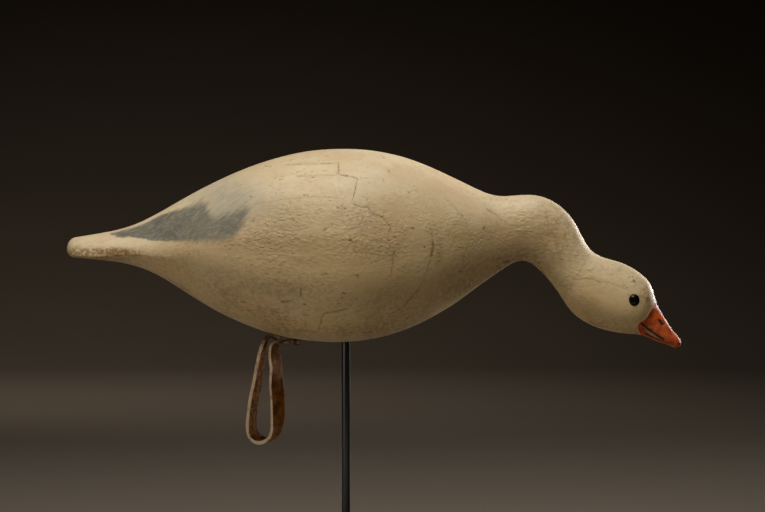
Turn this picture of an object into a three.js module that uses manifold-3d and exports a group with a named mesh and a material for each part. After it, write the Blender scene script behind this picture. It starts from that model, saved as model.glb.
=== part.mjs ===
// A snow goose decoy: a laminated and carved wooden goose with its neck stretched down to feed,
// a separate carved head, two glass eyes, a nailed leather loop under the belly and a rod stand.
// Millimetres, +Z up, +X towards the bill, origin under the middle of the stand's plate.

import * as THREE from "three";
import { mergeVertices } from "three/addons/utils/BufferGeometryUtils.js";
import Module from "manifold-3d";

const wasm = await Module();
wasm.setup();

// Driving sizes of the stand
const BASE_LENGTH = 280;
const BASE_WIDTH = 200;
const BASE_THICKNESS = 12;
const BASE_CORNER_RADIUS = 6;
const BASE_EDGE_BEVEL = 1.2;
const ROD_DIAMETER = 10;
const ROD_SHOWN = 230;
const ROD_IN_BASE = 8;
const ROD_IN_BODY = 60;
const ROD_EDGE_BEVEL = 0.8;

// Driving sizes of the goose
const GOOSE_LENGTH = 700;
const TAIL_EDGE_ROUNDING = 9;
const TAIL_PLAN_ROUNDING = 30;
const BILL_EDGE_ROUNDING = 7;
const BILL_PLAN_ROUNDING = 9;
const EYE_DIAMETER = 12;
const EYE_DOME_RISE = 2.4;
const EYE_BEAD_DEPTH = 6;
const NOSTRIL_LENGTH = 7;
const NOSTRIL_WIDTH = 2;
const NOSTRIL_DEPTH = 1.6;
const MOUTH_GROOVE_WIDTH = 1.5;

// Driving sizes of the leather loop and its nails
const STRAP_WIDTH = 18;
const STRAP_THICKNESS = 4.5;
const STRAP_EDGE_BEVEL = 0.6;
const LOOP_DROP = 126;
const LOOP_SPREAD = 33.5;
const LOOP_TURN = 34;
const LOOP_LEAN = 8;
const LOOP_TILT = 0.35;
const LOOP_FOLD_SAG = 1;
const INNER_LAP = 12.5;
const OUTER_LAP = 35;
const NAIL_LENGTH = 30;
const NAIL_SHANK_DIAMETER = 2.4;
const NAIL_HEAD_DIAMETER = 6;
const NAIL_HEAD_THICKNESS = 1.4;
const NAIL_HEAD_BEVEL = 0.6;
const NAIL_POINT_LENGTH = 5;
const REAR_NAIL_FROM_END = 6;
const FRONT_NAIL_FROM_END = 4;

// Clearance between pieces that touch
const GAP = 0.3;

// Fineness of the faceted surfaces
const BODY_RINGS = 24;
const NECK_RINGS = 15;
const HEAD_RINGS = 26;
const SIDES = 36;
const CAP_RINGS = 6;
const ROUND_SIDES = 24;
const SMALL_SIDES = 12;
const GROOVE_SIDES = 6;
const GROOVE_STEPS = 8;
const EYE_DOME_STEPS = 5;
const CORNER_STEPS = 5;
const STRAP_STEPS = 58;

// Search steps that halve a stretch, half the length over which a slope is taken, and the distance
// within which corners are one
const HALVINGS = 40;
const SLOPE_REACH = 0.5;
const WELD = 1e-4;

// The goose's ribs, in thousandths of its length from the tail's end and from the belly's lowest line:
// top point, bottom point, half width, curve of the crown and of the keel (2 is an ellipse, less is
// ridged, more is boxy) and the share of the way down at which the rib is widest. The body's last rib
// is the root of the neck, and the neck's last rib is where the head is glued on.
const SHARE_COUNT = 1000;
const BODY_RIBS = [
  { top: [0, 168], bottom: [0, 138.6], half: 53.6, crown: 1.6, keel: 2.2, waist: 0.87 },
  { top: [53.2, 176.8], bottom: [53.2, 133.7], half: 57.1, crown: 1.55, keel: 2, waist: 0.88 },
  { top: [102.1, 188.5], bottom: [102.1, 126.2], half: 66.4, crown: 1.6, keel: 1.75, waist: 0.74 },
  { top: [151, 211.2], bottom: [151, 107], half: 85.7, crown: 1.7, keel: 1.85, waist: 0.68 },
  { top: [200, 238.6], bottom: [200, 76.7], half: 110.7, crown: 1.85, keel: 2, waist: 0.59 },
  { top: [257.1, 267.5], bottom: [257.1, 43.5], half: 137.9, crown: 2, keel: 2.2, waist: 0.53 },
  { top: [395.7, 310.2], bottom: [395.7, 2.3], half: 171.7, crown: 2.15, keel: 2.75, waist: 0.533 },
  { top: [460.9, 313.8], bottom: [460.9, 0.5], half: 171.4, crown: 2.05, keel: 2.7, waist: 0.535 },
  { top: [526.2, 306.5], bottom: [526.2, 11.1], half: 148.3, crown: 2, keel: 2.45, waist: 0.527 },
  { top: [632.2, 266.2], bottom: [632.2, 62.8], half: 86.4, crown: 1.8, keel: 2.25, waist: 0.462 },
  { top: [673, 246.3], bottom: [673, 92.3], half: 59.3, crown: 1.75, keel: 2.15, waist: 0.425 },
];
const NECK_RIBS = [
  { top: [705.6, 237.2], bottom: [705.6, 115.3], half: 42.6, crown: 1.8, keel: 2.1, waist: 0.44 },
  { top: [765.9, 238.1], bottom: [744.7, 132.1], half: 35.4, crown: 1.9, keel: 2, waist: 0.47 },
  { top: [819.8, 204.9], bottom: [777.4, 109], half: 35, crown: 2, keel: 2, waist: 0.5 },
  { top: [855.7, 147.8], bottom: [806.7, 71.8], half: 35.6, crown: 2, keel: 2, waist: 0.52 },
];
const HEAD_RIBS = [
  { top: [875.2, 137.2], bottom: [819.8, 52.8], half: 38.3, crown: 2, keel: 2, waist: 0.57 },
  { top: [898.1, 130.6], bottom: [839.3, 35.6], half: 39.7, crown: 2, keel: 2, waist: 0.59 },
  { top: [940.5, 106.2], bottom: [894.8, 15.5], half: 38, crown: 2, keel: 2.1, waist: 0.56 },
  { top: [953.5, 87.9], bottom: [920.9, 12.6], half: 30.7, crown: 2, keel: 2.1, waist: 0.52 },
  { top: [960.7, 64], bottom: [937.2, 10.8], half: 19.4, crown: 2, keel: 2.2, waist: 0.5 },
  { top: [971.6, 42.4], bottom: [956.8, 2.6], half: 16, crown: 1.9, keel: 2.3, waist: 0.52 },
  { top: [986.6, 18.9], bottom: [978, -5.1], half: 13.7, crown: 1.9, keel: 2.4, waist: 0.55 },
  { top: [1003.3, 1], bottom: [996.7, -12.9], half: 12.6, crown: 2, keel: 2.3, waist: 0.55 },
];

// Places on the goose, in the same thousandths
const ROD_STATION_SHARE = 454.4;
const LOOP_STATION_SHARE = 330.4;
const EYE_CENTRE = [920.7, 68.5];
const NOSTRIL_REAR = [963, 37.5];
const NOSTRIL_FRONT = [968.5, 27.8];
const MOUTH_UPPER = [
  [935.4, 31.2],
  [944.6, 21.2],
  [956.4, 13],
  [971.2, 3.1],
];
const MOUTH_LOWER = [
  [939.8, 19.5],
  [948.6, 9.6],
  [957, 4.6],
  [968.5, -1.1],
];

// The loop's legs from the fold down to the lowest point of the bend: depth in shares of the drop, half
// the distance between the legs in shares of the spread, and how far the strap is turned about the
// upright on its rear and front leg.
const LOOP_COURSE = [
  { down: 0.16, apart: 0.265, rear: 16, front: 28 },
  { down: 0.3, apart: 0.33, rear: 22, front: 34 },
  { down: 0.43, apart: 0.39, rear: 26, front: 43 },
  { down: 0.62, apart: 0.51, rear: 27, front: 52 },
  { down: 0.8, apart: 0.56, rear: 25, front: 46 },
  { down: 0.89, apart: 0.53, rear: 26, front: 38 },
  { down: 0.962, apart: 0.38, rear: 30, front: 34 },
];

// The outer lap from the front leg to its nail: place ahead of the fold in inner laps, and depth of
// its middle under the belly in strap thicknesses.
const OUTER_COURSE = [
  { ahead: 0.72, depth: 2.63 },
  { ahead: 1, depth: 2 },
  { ahead: 1.36, depth: 1.55 },
  { ahead: 1.9, depth: 1.07 },
];
const OUTER_END_DEPTH = 0.8;

// Colours and finishes
const IVORY_PAINT = { color: 0xcdbd9a, roughness: 0.62, metalness: 0 };
const BLACK_GLASS = { color: 0x0a0908, roughness: 0.08, metalness: 0 };
const TAN_LEATHER = { color: 0x8a6238, roughness: 0.7, metalness: 0 };
const RUSTED_IRON = { color: 0x2c2019, roughness: 0.75, metalness: 0.6 };
const BLACK_STEEL = { color: 0x15161a, roughness: 0.35, metalness: 0.8 };

// Natural cubic spline through values at rising parameters
class NaturalSpline {
  constructor(parameters, values) {
    this.parameters = parameters;
    this.values = values;
    this.bends = NaturalSpline.secondDerivatives(parameters, values);
  }

  static secondDerivatives(t, y) {
    const n = t.length;
    const upper = new Array(n).fill(0);
    const right = new Array(n).fill(0);
    for (let i = 1; i < n - 1; i++) {
      const before = t[i] - t[i - 1];
      const after = t[i + 1] - t[i];
      const slopes = (y[i + 1] - y[i]) / after - (y[i] - y[i - 1]) / before;
      const pivot = 2 * (before + after) - before * upper[i - 1];
      upper[i] = after / pivot;
      right[i] = (6 * slopes - before * right[i - 1]) / pivot;
    }
    const bends = new Array(n).fill(0);
    for (let i = n - 2; i > 0; i--) bends[i] = right[i] - upper[i] * bends[i + 1];
    return bends;
  }

  at(t) {
    const knots = this.parameters;
    let i = 0;
    while (i < knots.length - 2 && t > knots[i + 1]) i++;
    const span = knots[i + 1] - knots[i];
    const a = (knots[i + 1] - t) / span;
    const b = (t - knots[i]) / span;
    const straight = a * this.values[i] + b * this.values[i + 1];
    const bend = (a ** 3 - a) * this.bends[i] + (b ** 3 - b) * this.bends[i + 1];
    return straight + (bend * span * span) / 6;
  }
}

// Distance travelled along a run of points, one value a point
function runningLength(points) {
  const lengths = [0];
  for (let i = 1; i < points.length; i++) {
    lengths.push(lengths[i - 1] + points[i].distanceTo(points[i - 1]));
  }
  return lengths;
}

// Share of its full size that a rounded end has at a distance from its tip
function roundedShare(distance, rounding) {
  const left = Math.max(0, 1 - distance / rounding);
  return Math.sqrt(1 - left * left);
}

// The goose's outer surface, as one loft through its ribs from tail to bill
class GooseSurface {
  constructor(length, bellyHeight) {
    const ribs = [...BODY_RIBS, ...NECK_RIBS, ...HEAD_RIBS];
    const unit = length / SHARE_COUNT;
    const along = (share) => (share - ROD_STATION_SHARE) * unit;
    const above = (share) => bellyHeight + share * unit;
    this.along = along;
    this.above = above;
    const centres = ribs.map(
      ({ top, bottom }) =>
        new THREE.Vector2(along((top[0] + bottom[0]) / 2), above((top[1] + bottom[1]) / 2)),
    );
    this.knots = runningLength(centres);
    const spline = (pick) => new NaturalSpline(this.knots, ribs.map(pick));
    this.topX = spline((r) => along(r.top[0]));
    this.topZ = spline((r) => above(r.top[1]));
    this.bottomX = spline((r) => along(r.bottom[0]));
    this.bottomZ = spline((r) => above(r.bottom[1]));
    this.half = spline((r) => r.half * unit);
    this.crown = spline((r) => r.crown);
    this.keel = spline((r) => r.keel);
    this.waist = spline((r) => r.waist);
    this.neckRoot = this.knots[BODY_RIBS.length - 1];
    this.headJoint = this.knots[BODY_RIBS.length + NECK_RIBS.length - 1];
    this.end = this.knots[this.knots.length - 1];
  }

  // The rib at a distance along the goose, its ends rounded off at the tail and the bill: the top and
  // the bottom close in on the point halfway between them
  rib(t) {
    const fromBill = this.end - t;
    const height = roundedShare(t, TAIL_EDGE_ROUNDING) * roundedShare(fromBill, BILL_EDGE_ROUNDING);
    const width = roundedShare(t, TAIL_PLAN_ROUNDING) * roundedShare(fromBill, BILL_PLAN_ROUNDING);
    const top = new THREE.Vector3(this.topX.at(t), 0, this.topZ.at(t));
    const bottom = new THREE.Vector3(this.bottomX.at(t), 0, this.bottomZ.at(t));
    const centre = top.clone().lerp(bottom, 0.5);
    top.sub(centre).multiplyScalar(height).add(centre);
    bottom.sub(centre).multiplyScalar(height).add(centre);
    const middle = top.clone().lerp(bottom, this.waist.at(t));
    return {
      middle,
      rise: top.sub(middle),
      fall: bottom.sub(middle),
      half: this.half.at(t) * width,
      crown: this.crown.at(t),
      keel: this.keel.at(t),
    };
  }

  // A point of the surface: angle 0 is the left side's widest line, a quarter turn is the top
  point(t, angle) {
    const rib = this.rib(t);
    const across = Math.cos(angle);
    const up = Math.sin(angle);
    const power = up >= 0 ? rib.crown : rib.keel;
    const reach = (Math.abs(across) ** power + Math.abs(up) ** power) ** (-1 / power);
    const point = rib.middle.clone();
    point.addScaledVector(up >= 0 ? rib.rise : rib.fall, Math.abs(up) * reach);
    point.y = across * reach * rib.half;
    return point;
  }

  // How far ahead of the rib at t a point of the side view lies, square to that rib
  ahead(t, x, z) {
    const top = new THREE.Vector2(this.topX.at(t), this.topZ.at(t));
    const bottom = new THREE.Vector2(this.bottomX.at(t), this.bottomZ.at(t));
    return (x - bottom.x) * (top.y - bottom.y) - (z - bottom.y) * (top.x - bottom.x);
  }

  // The rib that passes through a point of the side view
  stationOf(x, z) {
    let low = 0;
    let high = this.end;
    for (let i = 0; i < HALVINGS; i++) {
      const middle = (low + high) / 2;
      if (this.ahead(middle, x, z) > 0) low = middle;
      else high = middle;
    }
    return (low + high) / 2;
  }

  // The surface's half width at a point of the side view
  halfWidthAt(x, z) {
    const rib = this.rib(this.stationOf(x, z));
    const offset = new THREE.Vector3(x, 0, z).sub(rib.middle);
    const upper = offset.dot(rib.rise) > 0;
    const reach = offset.length() / (upper ? rib.rise : rib.fall).length();
    const power = upper ? rib.crown : rib.keel;
    return rib.half * Math.max(0, 1 - reach ** power) ** (1 / power);
  }

  // Point on the side of the goose (side is 1 for its left, -1 for its right) at a place in shares
  sidePoint([along, above], side) {
    const x = this.along(along);
    const z = this.above(above);
    return new THREE.Vector3(x, side * this.halfWidthAt(x, z), z);
  }

  // Outward direction there, from the slopes of the half width
  sideNormal([along, above], side) {
    const x = this.along(along);
    const z = this.above(above);
    const run = 2 * SLOPE_REACH;
    const behind = this.halfWidthAt(x - SLOPE_REACH, z);
    const before = this.halfWidthAt(x + SLOPE_REACH, z);
    const under = this.halfWidthAt(x, z - SLOPE_REACH);
    const over = this.halfWidthAt(x, z + SLOPE_REACH);
    return new THREE.Vector3((behind - before) / run, side, (under - over) / run).normalize();
  }

  // Height of the belly's middle line at a distance along the goose
  bellyAt(x) {
    let low = 0;
    let high = this.headJoint;
    for (let i = 0; i < HALVINGS; i++) {
      const middle = (low + high) / 2;
      if (this.bottomX.at(middle) < x) low = middle;
      else high = middle;
    }
    return this.bottomZ.at(low);
  }
}

// Stations along stretches of the goose, each cut into equal steps up to its end
function stations(start, ...stretches) {
  const list = [];
  let from = start;
  for (const [to, count] of stretches) {
    for (let i = 0; i < count; i++) list.push(from + ((to - from) * i) / count);
    from = to;
  }
  return [...list, from];
}

// Distances from a rounded tip, closer together towards it
function tipSteps(rounding) {
  const steps = [];
  for (let i = 1; i < CAP_RINGS; i++) {
    steps.push(rounding * (1 - Math.cos((i * Math.PI) / (2 * CAP_RINGS))));
  }
  return steps;
}

// Closed geometry through rings of points, each end closed by a fan to a point
function closedTube(rings, startPoint, endPoint) {
  const sides = rings[0].length;
  const corners = [startPoint, ...rings.flat(), endPoint];
  const last = corners.length - 1;
  const index = [];
  const at = (ring, side) => 1 + ring * sides + (side % sides);
  for (let s = 0; s < sides; s++) {
    index.push(0, at(0, s + 1), at(0, s));
    index.push(last, at(rings.length - 1, s), at(rings.length - 1, s + 1));
    for (let r = 0; r < rings.length - 1; r++) {
      index.push(at(r, s), at(r, s + 1), at(r + 1, s));
      index.push(at(r + 1, s), at(r, s + 1), at(r + 1, s + 1));
    }
  }
  const geometry = new THREE.BufferGeometry();
  const flat = corners.flatMap((corner) => corner.toArray());
  geometry.setAttribute("position", new THREE.Float32BufferAttribute(flat, 3));
  geometry.setIndex(index);
  return geometry;
}

// A closed geometry as a solid that can be joined and cut
function solidFrom(geometry) {
  const bare = geometry.clone();
  bare.deleteAttribute("normal");
  bare.deleteAttribute("uv");
  const merged = mergeVertices(bare, WELD);
  const vertProperties = new Float32Array(merged.attributes.position.array);
  const triVerts = new Uint32Array(merged.index.array);
  return new wasm.Manifold(new wasm.Mesh({ numProp: 3, vertProperties, triVerts }));
}

// A solid as a geometry again
function geometryFrom(solid) {
  const { numProp, numVert, vertProperties, triVerts } = solid.getMesh();
  const corners = new Float32Array(numVert * 3);
  for (let i = 0; i < numVert; i++) {
    corners.set(vertProperties.subarray(i * numProp, i * numProp + 3), i * 3);
  }
  const geometry = new THREE.BufferGeometry();
  geometry.setAttribute("position", new THREE.BufferAttribute(corners, 3));
  geometry.setIndex(new THREE.BufferAttribute(triVerts, 1));
  return geometry;
}

// A geometry with holes cut by other geometries
function cut(geometry, cutters) {
  let solid = solidFrom(geometry);
  for (const cutter of cutters) solid = solid.subtract(solidFrom(cutter));
  return geometryFrom(solid);
}

function namedMesh(name, geometry, finish) {
  geometry.computeVertexNormals();
  const mesh = new THREE.Mesh(geometry, new THREE.MeshStandardMaterial(finish));
  mesh.name = name;
  return mesh;
}

// A solid of revolution about +Z from (radius, height) pairs that start and end on the axis
function turned(profile, sides = ROUND_SIDES) {
  return new THREE.LatheGeometry(
    profile.map(([radius, height]) => new THREE.Vector2(radius, height)),
    sides,
  ).rotateX(Math.PI / 2);
}

// A plain round bar about +Z between two heights
function pin(radius, from, to, sides = ROUND_SIDES) {
  return turned(
    [
      [0, from],
      [radius, from],
      [radius, to],
      [0, to],
    ],
    sides,
  );
}

// Moves a geometry made about +Z so that its axis runs along a direction from a point
function place(geometry, point, direction) {
  const turn = new THREE.Quaternion().setFromUnitVectors(new THREE.Vector3(0, 0, 1), direction);
  return geometry.applyQuaternion(turn).translate(point.x, point.y, point.z);
}

const BELLY_HEIGHT = BASE_THICKNESS + ROD_SHOWN;
const goose = new GooseSurface(GOOSE_LENGTH, BELLY_HEIGHT);

function ringAt(t) {
  const ring = [];
  for (let s = 0; s < SIDES; s++) ring.push(goose.point(t, (2 * Math.PI * s) / SIDES));
  return ring;
}

// Outline of a glass eye about its axis, a short bead with a domed front
function eyeProfile() {
  const radius = EYE_DIAMETER / 2;
  const domeRadius = (radius ** 2 + EYE_DOME_RISE ** 2) / (2 * EYE_DOME_RISE);
  const sweep = Math.asin(radius / domeRadius);
  const profile = [
    [0, -EYE_BEAD_DEPTH],
    [radius, -EYE_BEAD_DEPTH],
  ];
  for (let i = 0; i < EYE_DOME_STEPS; i++) {
    const angle = sweep * (1 - i / EYE_DOME_STEPS);
    const height = EYE_DOME_RISE - domeRadius * (1 - Math.cos(angle));
    profile.push([domeRadius * Math.sin(angle), height]);
  }
  return [...profile, [0, EYE_DOME_RISE]];
}

// Puts a geometry made about +Z on the side of the head at the eye, facing outwards
function atEye(geometry, side) {
  return place(geometry, goose.sidePoint(EYE_CENTRE, side), goose.sideNormal(EYE_CENTRE, side));
}

function eye(name, side) {
  return namedMesh(name, atEye(turned(eyeProfile()), side), BLACK_GLASS);
}

// Hole for an eye: the bead's own size and a clearance all round
function eyeSocket(side) {
  return atEye(pin(EYE_DIAMETER / 2 + GAP, -EYE_BEAD_DEPTH - GAP, EYE_BEAD_DEPTH), side);
}

// Slot of a nostril, cut square into the side of the bill
function nostril(side) {
  const rear = goose.sidePoint(NOSTRIL_REAR, side);
  const front = goose.sidePoint(NOSTRIL_FRONT, side);
  const slope = Math.atan2(front.z - rear.z, front.x - rear.x);
  const centre = rear.clone().lerp(front, 0.5);
  return pin(NOSTRIL_WIDTH / 2, -NOSTRIL_DEPTH, NOSTRIL_DEPTH, SMALL_SIDES)
    .rotateX(Math.PI / 2)
    .scale(NOSTRIL_LENGTH / NOSTRIL_WIDTH, 1, 1)
    .rotateY(-slope)
    .translate(centre.x, centre.y, centre.z);
}

// Groove of a mouth line, a thin rod laid along the bill's surface and half sunk in it
function mouthGroove(line, side) {
  const path = new THREE.CatmullRomCurve3(line.map((place) => goose.sidePoint(place, side)));
  const frames = path.computeFrenetFrames(GROOVE_STEPS, false);
  const radius = MOUTH_GROOVE_WIDTH / 2;
  const rings = [];
  for (let i = 0; i <= GROOVE_STEPS; i++) {
    const centre = path.getPointAt(i / GROOVE_STEPS);
    const ring = [];
    for (let s = 0; s < GROOVE_SIDES; s++) {
      const angle = (2 * Math.PI * s) / GROOVE_SIDES;
      const corner = centre.clone();
      corner.addScaledVector(frames.normals[i], radius * Math.cos(angle));
      corner.addScaledVector(frames.binormals[i], radius * Math.sin(angle));
      ring.push(corner);
    }
    rings.push(ring);
  }
  return closedTube(rings, path.getPointAt(0), path.getPointAt(1));
}

// Carved head with its bill, cut flat where it is glued to the neck
function gooseHead() {
  const from = goose.headJoint + GAP / 2;
  const list = stations(from, [goose.end - BILL_PLAN_ROUNDING, HEAD_RINGS]);
  list.push(...tipSteps(BILL_PLAN_ROUNDING).map((step) => goose.end - step).reverse());
  const rings = list.map(ringAt);
  const glued = goose.rib(from);
  const tip = goose.rib(goose.end).middle;
  const blank = closedTube(rings, glued.middle, tip);
  const cutters = [];
  for (const side of [1, -1]) {
    cutters.push(eyeSocket(side), nostril(side));
    cutters.push(mouthGroove(MOUTH_UPPER, side), mouthGroove(MOUTH_LOWER, side));
  }
  return namedMesh("goose_head", cut(blank, cutters), IVORY_PAINT);
}

// Laminated body and neck, with the rod's socket and the nail holes in the belly
function gooseBody(holes) {
  const to = goose.headJoint - GAP / 2;
  const list = stations(TAIL_PLAN_ROUNDING, [goose.neckRoot, BODY_RINGS], [to, NECK_RINGS]);
  const rings = [...tipSteps(TAIL_PLAN_ROUNDING), ...list].map(ringAt);
  const blank = closedTube(rings, goose.rib(0).middle, goose.rib(to).middle);
  const socketMouth = BELLY_HEIGHT - ROD_DIAMETER;
  const socket = pin(ROD_DIAMETER / 2 + GAP, socketMouth, BELLY_HEIGHT + ROD_IN_BODY + GAP);
  return namedMesh("goose_body", cut(blank, [socket, ...holes]), IVORY_PAINT);
}

// Depths of the strap's middle under the belly, where it lies against it
const foldX = goose.along(LOOP_STATION_SHARE);
const innerDepth = GAP + STRAP_THICKNESS / 2;

function underBelly(x, depth) {
  return { point: new THREE.Vector3(x, 0, goose.bellyAt(x) - depth), turn: 0 };
}

// A stop on one of the loop's legs, side -1 for the rear leg and 1 for the front one
function onLeg(side, { down, apart, turn }) {
  const across = side * apart * LOOP_SPREAD;
  const loopTurn = THREE.MathUtils.degToRad(LOOP_TURN);
  const drop = down * (LOOP_DROP - STRAP_THICKNESS / 2);
  const point = new THREE.Vector3(
    foldX - LOOP_LEAN * down + across * Math.cos(loopTurn),
    -across * Math.sin(loopTurn),
    goose.bellyAt(foldX) - drop,
  );
  return { point, turn };
}

// The strap's stops, from the inner lap round the loop to the outer lap
function loopCourse() {
  const rearLeg = LOOP_COURSE.map((stop) => onLeg(-1, { ...stop, turn: stop.rear }));
  const bend = onLeg(0, { down: 1, apart: 0, turn: LOOP_TURN });
  const frontLeg = LOOP_COURSE.map((stop) => onLeg(1, { ...stop, turn: stop.front })).reverse();
  const halfThickness = STRAP_THICKNESS / 2;
  return [
    underBelly(foldX + INNER_LAP, innerDepth),
    underBelly(foldX + INNER_LAP / 2, innerDepth),
    underBelly(foldX + halfThickness, innerDepth + GAP),
    underBelly(foldX - halfThickness, innerDepth + halfThickness + LOOP_FOLD_SAG),
    ...rearLeg,
    bend,
    ...frontLeg,
    ...OUTER_COURSE.map(({ ahead, depth }) =>
      underBelly(foldX + ahead * INNER_LAP, depth * STRAP_THICKNESS),
    ),
    underBelly(foldX + OUTER_LAP, OUTER_END_DEPTH * STRAP_THICKNESS),
  ];
}

// The strap's middle line through its stops, with the directions of its length, width and thickness
class StrapLine {
  constructor(course) {
    const knots = runningLength(course.map(({ point }) => point));
    const spline = (pick) => new NaturalSpline(knots, course.map(pick));
    this.x = spline(({ point }) => point.x);
    this.y = spline(({ point }) => point.y);
    this.z = spline(({ point }) => point.z);
    this.turn = spline(({ turn }) => THREE.MathUtils.degToRad(turn));
    this.end = knots[knots.length - 1];
  }

  at(t) {
    return new THREE.Vector3(this.x.at(t), this.y.at(t), this.z.at(t));
  }

  directions(t) {
    const before = this.at(Math.max(0, t - SLOPE_REACH));
    const along = this.at(Math.min(this.end, t + SLOPE_REACH)).sub(before).normalize();
    const turn = this.turn.at(t);
    const wide = new THREE.Vector3(Math.sin(turn), Math.cos(turn), LOOP_TILT * Math.sin(turn));
    wide.addScaledVector(along, -wide.dot(along)).normalize();
    const thick = new THREE.Vector3().crossVectors(along, wide);
    return { wide, thick };
  }
}

const strapLine = new StrapLine(loopCourse());

// The strap: a bevelled rectangle carried along its middle line
function strap(holes) {
  const halfWidth = STRAP_WIDTH / 2;
  const halfThickness = STRAP_THICKNESS / 2;
  const section = [
    [halfWidth, halfThickness - STRAP_EDGE_BEVEL],
    [halfWidth - STRAP_EDGE_BEVEL, halfThickness],
    [STRAP_EDGE_BEVEL - halfWidth, halfThickness],
    [-halfWidth, halfThickness - STRAP_EDGE_BEVEL],
    [-halfWidth, STRAP_EDGE_BEVEL - halfThickness],
    [STRAP_EDGE_BEVEL - halfWidth, -halfThickness],
    [halfWidth - STRAP_EDGE_BEVEL, -halfThickness],
    [halfWidth, STRAP_EDGE_BEVEL - halfThickness],
  ];
  const rings = [];
  for (let i = 0; i <= STRAP_STEPS; i++) {
    const t = (strapLine.end * i) / STRAP_STEPS;
    const { wide, thick } = strapLine.directions(t);
    const corner = ([across, through]) =>
      strapLine.at(t).addScaledVector(wide, across).addScaledVector(thick, through);
    rings.push(section.map(corner));
  }
  const blank = closedTube(rings, strapLine.at(0), strapLine.at(strapLine.end));
  return namedMesh("leather_loop", cut(blank, holes), TAN_LEATHER);
}

// Where a nail's head seats under the strap, and its way up into the belly, square to the strap
function nailSeat(t) {
  const { thick } = strapLine.directions(t);
  const into = thick.z > 0 ? thick : thick.negate();
  const seat = strapLine.at(t).addScaledVector(into, -STRAP_THICKNESS / 2 - GAP);
  return { seat, into };
}

// Outline of a nail about its axis, from the top of its head to its point
function nailProfile() {
  const shank = NAIL_SHANK_DIAMETER / 2;
  const head = NAIL_HEAD_DIAMETER / 2;
  return [
    [0, -NAIL_HEAD_THICKNESS],
    [head - NAIL_HEAD_BEVEL, -NAIL_HEAD_THICKNESS],
    [head, NAIL_HEAD_BEVEL - NAIL_HEAD_THICKNESS],
    [head, 0],
    [shank, 0],
    [shank, NAIL_LENGTH - NAIL_POINT_LENGTH],
    [0, NAIL_LENGTH],
  ];
}

function nail(name, { seat, into }) {
  return namedMesh(name, place(turned(nailProfile(), SMALL_SIDES), seat, into), RUSTED_IRON);
}

// Hole for a nail's shank, through the strap and into the belly
function nailHole({ seat, into }) {
  const hole = pin(NAIL_SHANK_DIAMETER / 2 + GAP, -NAIL_HEAD_THICKNESS, NAIL_LENGTH + GAP, SMALL_SIDES);
  return place(hole, seat, into);
}

// Rod of the stand
function standRod() {
  const radius = ROD_DIAMETER / 2;
  const foot = BASE_THICKNESS - ROD_IN_BASE;
  const top = BELLY_HEIGHT + ROD_IN_BODY;
  const geometry = turned([
    [0, foot],
    [radius - ROD_EDGE_BEVEL, foot],
    [radius, foot + ROD_EDGE_BEVEL],
    [radius, top - ROD_EDGE_BEVEL],
    [radius - ROD_EDGE_BEVEL, top],
    [0, top],
  ]);
  return namedMesh("stand_rod", geometry, BLACK_STEEL);
}

// Plate of the stand, with rounded corners, eased edges and the rod's hole
function standBase() {
  const halfLength = BASE_LENGTH / 2 - BASE_EDGE_BEVEL;
  const halfWidth = BASE_WIDTH / 2 - BASE_EDGE_BEVEL;
  const corner = BASE_CORNER_RADIUS - BASE_EDGE_BEVEL;
  const outline = new THREE.Shape();
  outline.absarc(halfLength - corner, halfWidth - corner, corner, 0, Math.PI / 2);
  outline.absarc(corner - halfLength, halfWidth - corner, corner, Math.PI / 2, Math.PI);
  outline.absarc(corner - halfLength, corner - halfWidth, corner, Math.PI, 1.5 * Math.PI);
  outline.absarc(halfLength - corner, corner - halfWidth, corner, 1.5 * Math.PI, 2 * Math.PI);
  const plate = new THREE.ExtrudeGeometry(outline, {
    depth: BASE_THICKNESS - 2 * BASE_EDGE_BEVEL,
    bevelThickness: BASE_EDGE_BEVEL,
    bevelSize: BASE_EDGE_BEVEL,
    bevelSegments: 1,
    curveSegments: CORNER_STEPS,
  }).translate(0, 0, BASE_EDGE_BEVEL);
  const holeFloor = BASE_THICKNESS - ROD_IN_BASE - GAP;
  const hole = pin(ROD_DIAMETER / 2 + GAP, holeFloor, 2 * BASE_THICKNESS);
  return namedMesh("stand_base", cut(plate, [hole]), BLACK_STEEL);
}

const rearNail = nailSeat(REAR_NAIL_FROM_END);
const frontNail = nailSeat(strapLine.end - FRONT_NAIL_FROM_END);
const nailHoles = [nailHole(rearNail), nailHole(frontNail)];

const part = new THREE.Group();
part.add(
  gooseBody(nailHoles),
  gooseHead(),
  eye("left_eye", 1),
  eye("right_eye", -1),
  strap(nailHoles),
  nail("rear_nail", rearNail),
  nail("front_nail", frontNail),
  standRod(),
  standBase(),
);

export default part;
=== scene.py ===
"""Looks of a goose decoy: a carved and painted wooden goose with glass eyes and a nailed leather loop,
held up on a rod stand, and the studio that it is seen in.

Shapes are worked out in millimetres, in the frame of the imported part: +X towards the bill, +Z up and
-Y towards the viewer, the goose's right side. They become metres when a mesh is made. Places on the
goose are given in shares: thousandths of its length, ahead of the tail's end and above the belly.
"""

import logging
import math
from collections.abc import Sequence
from dataclasses import dataclass
from enum import Enum

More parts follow.
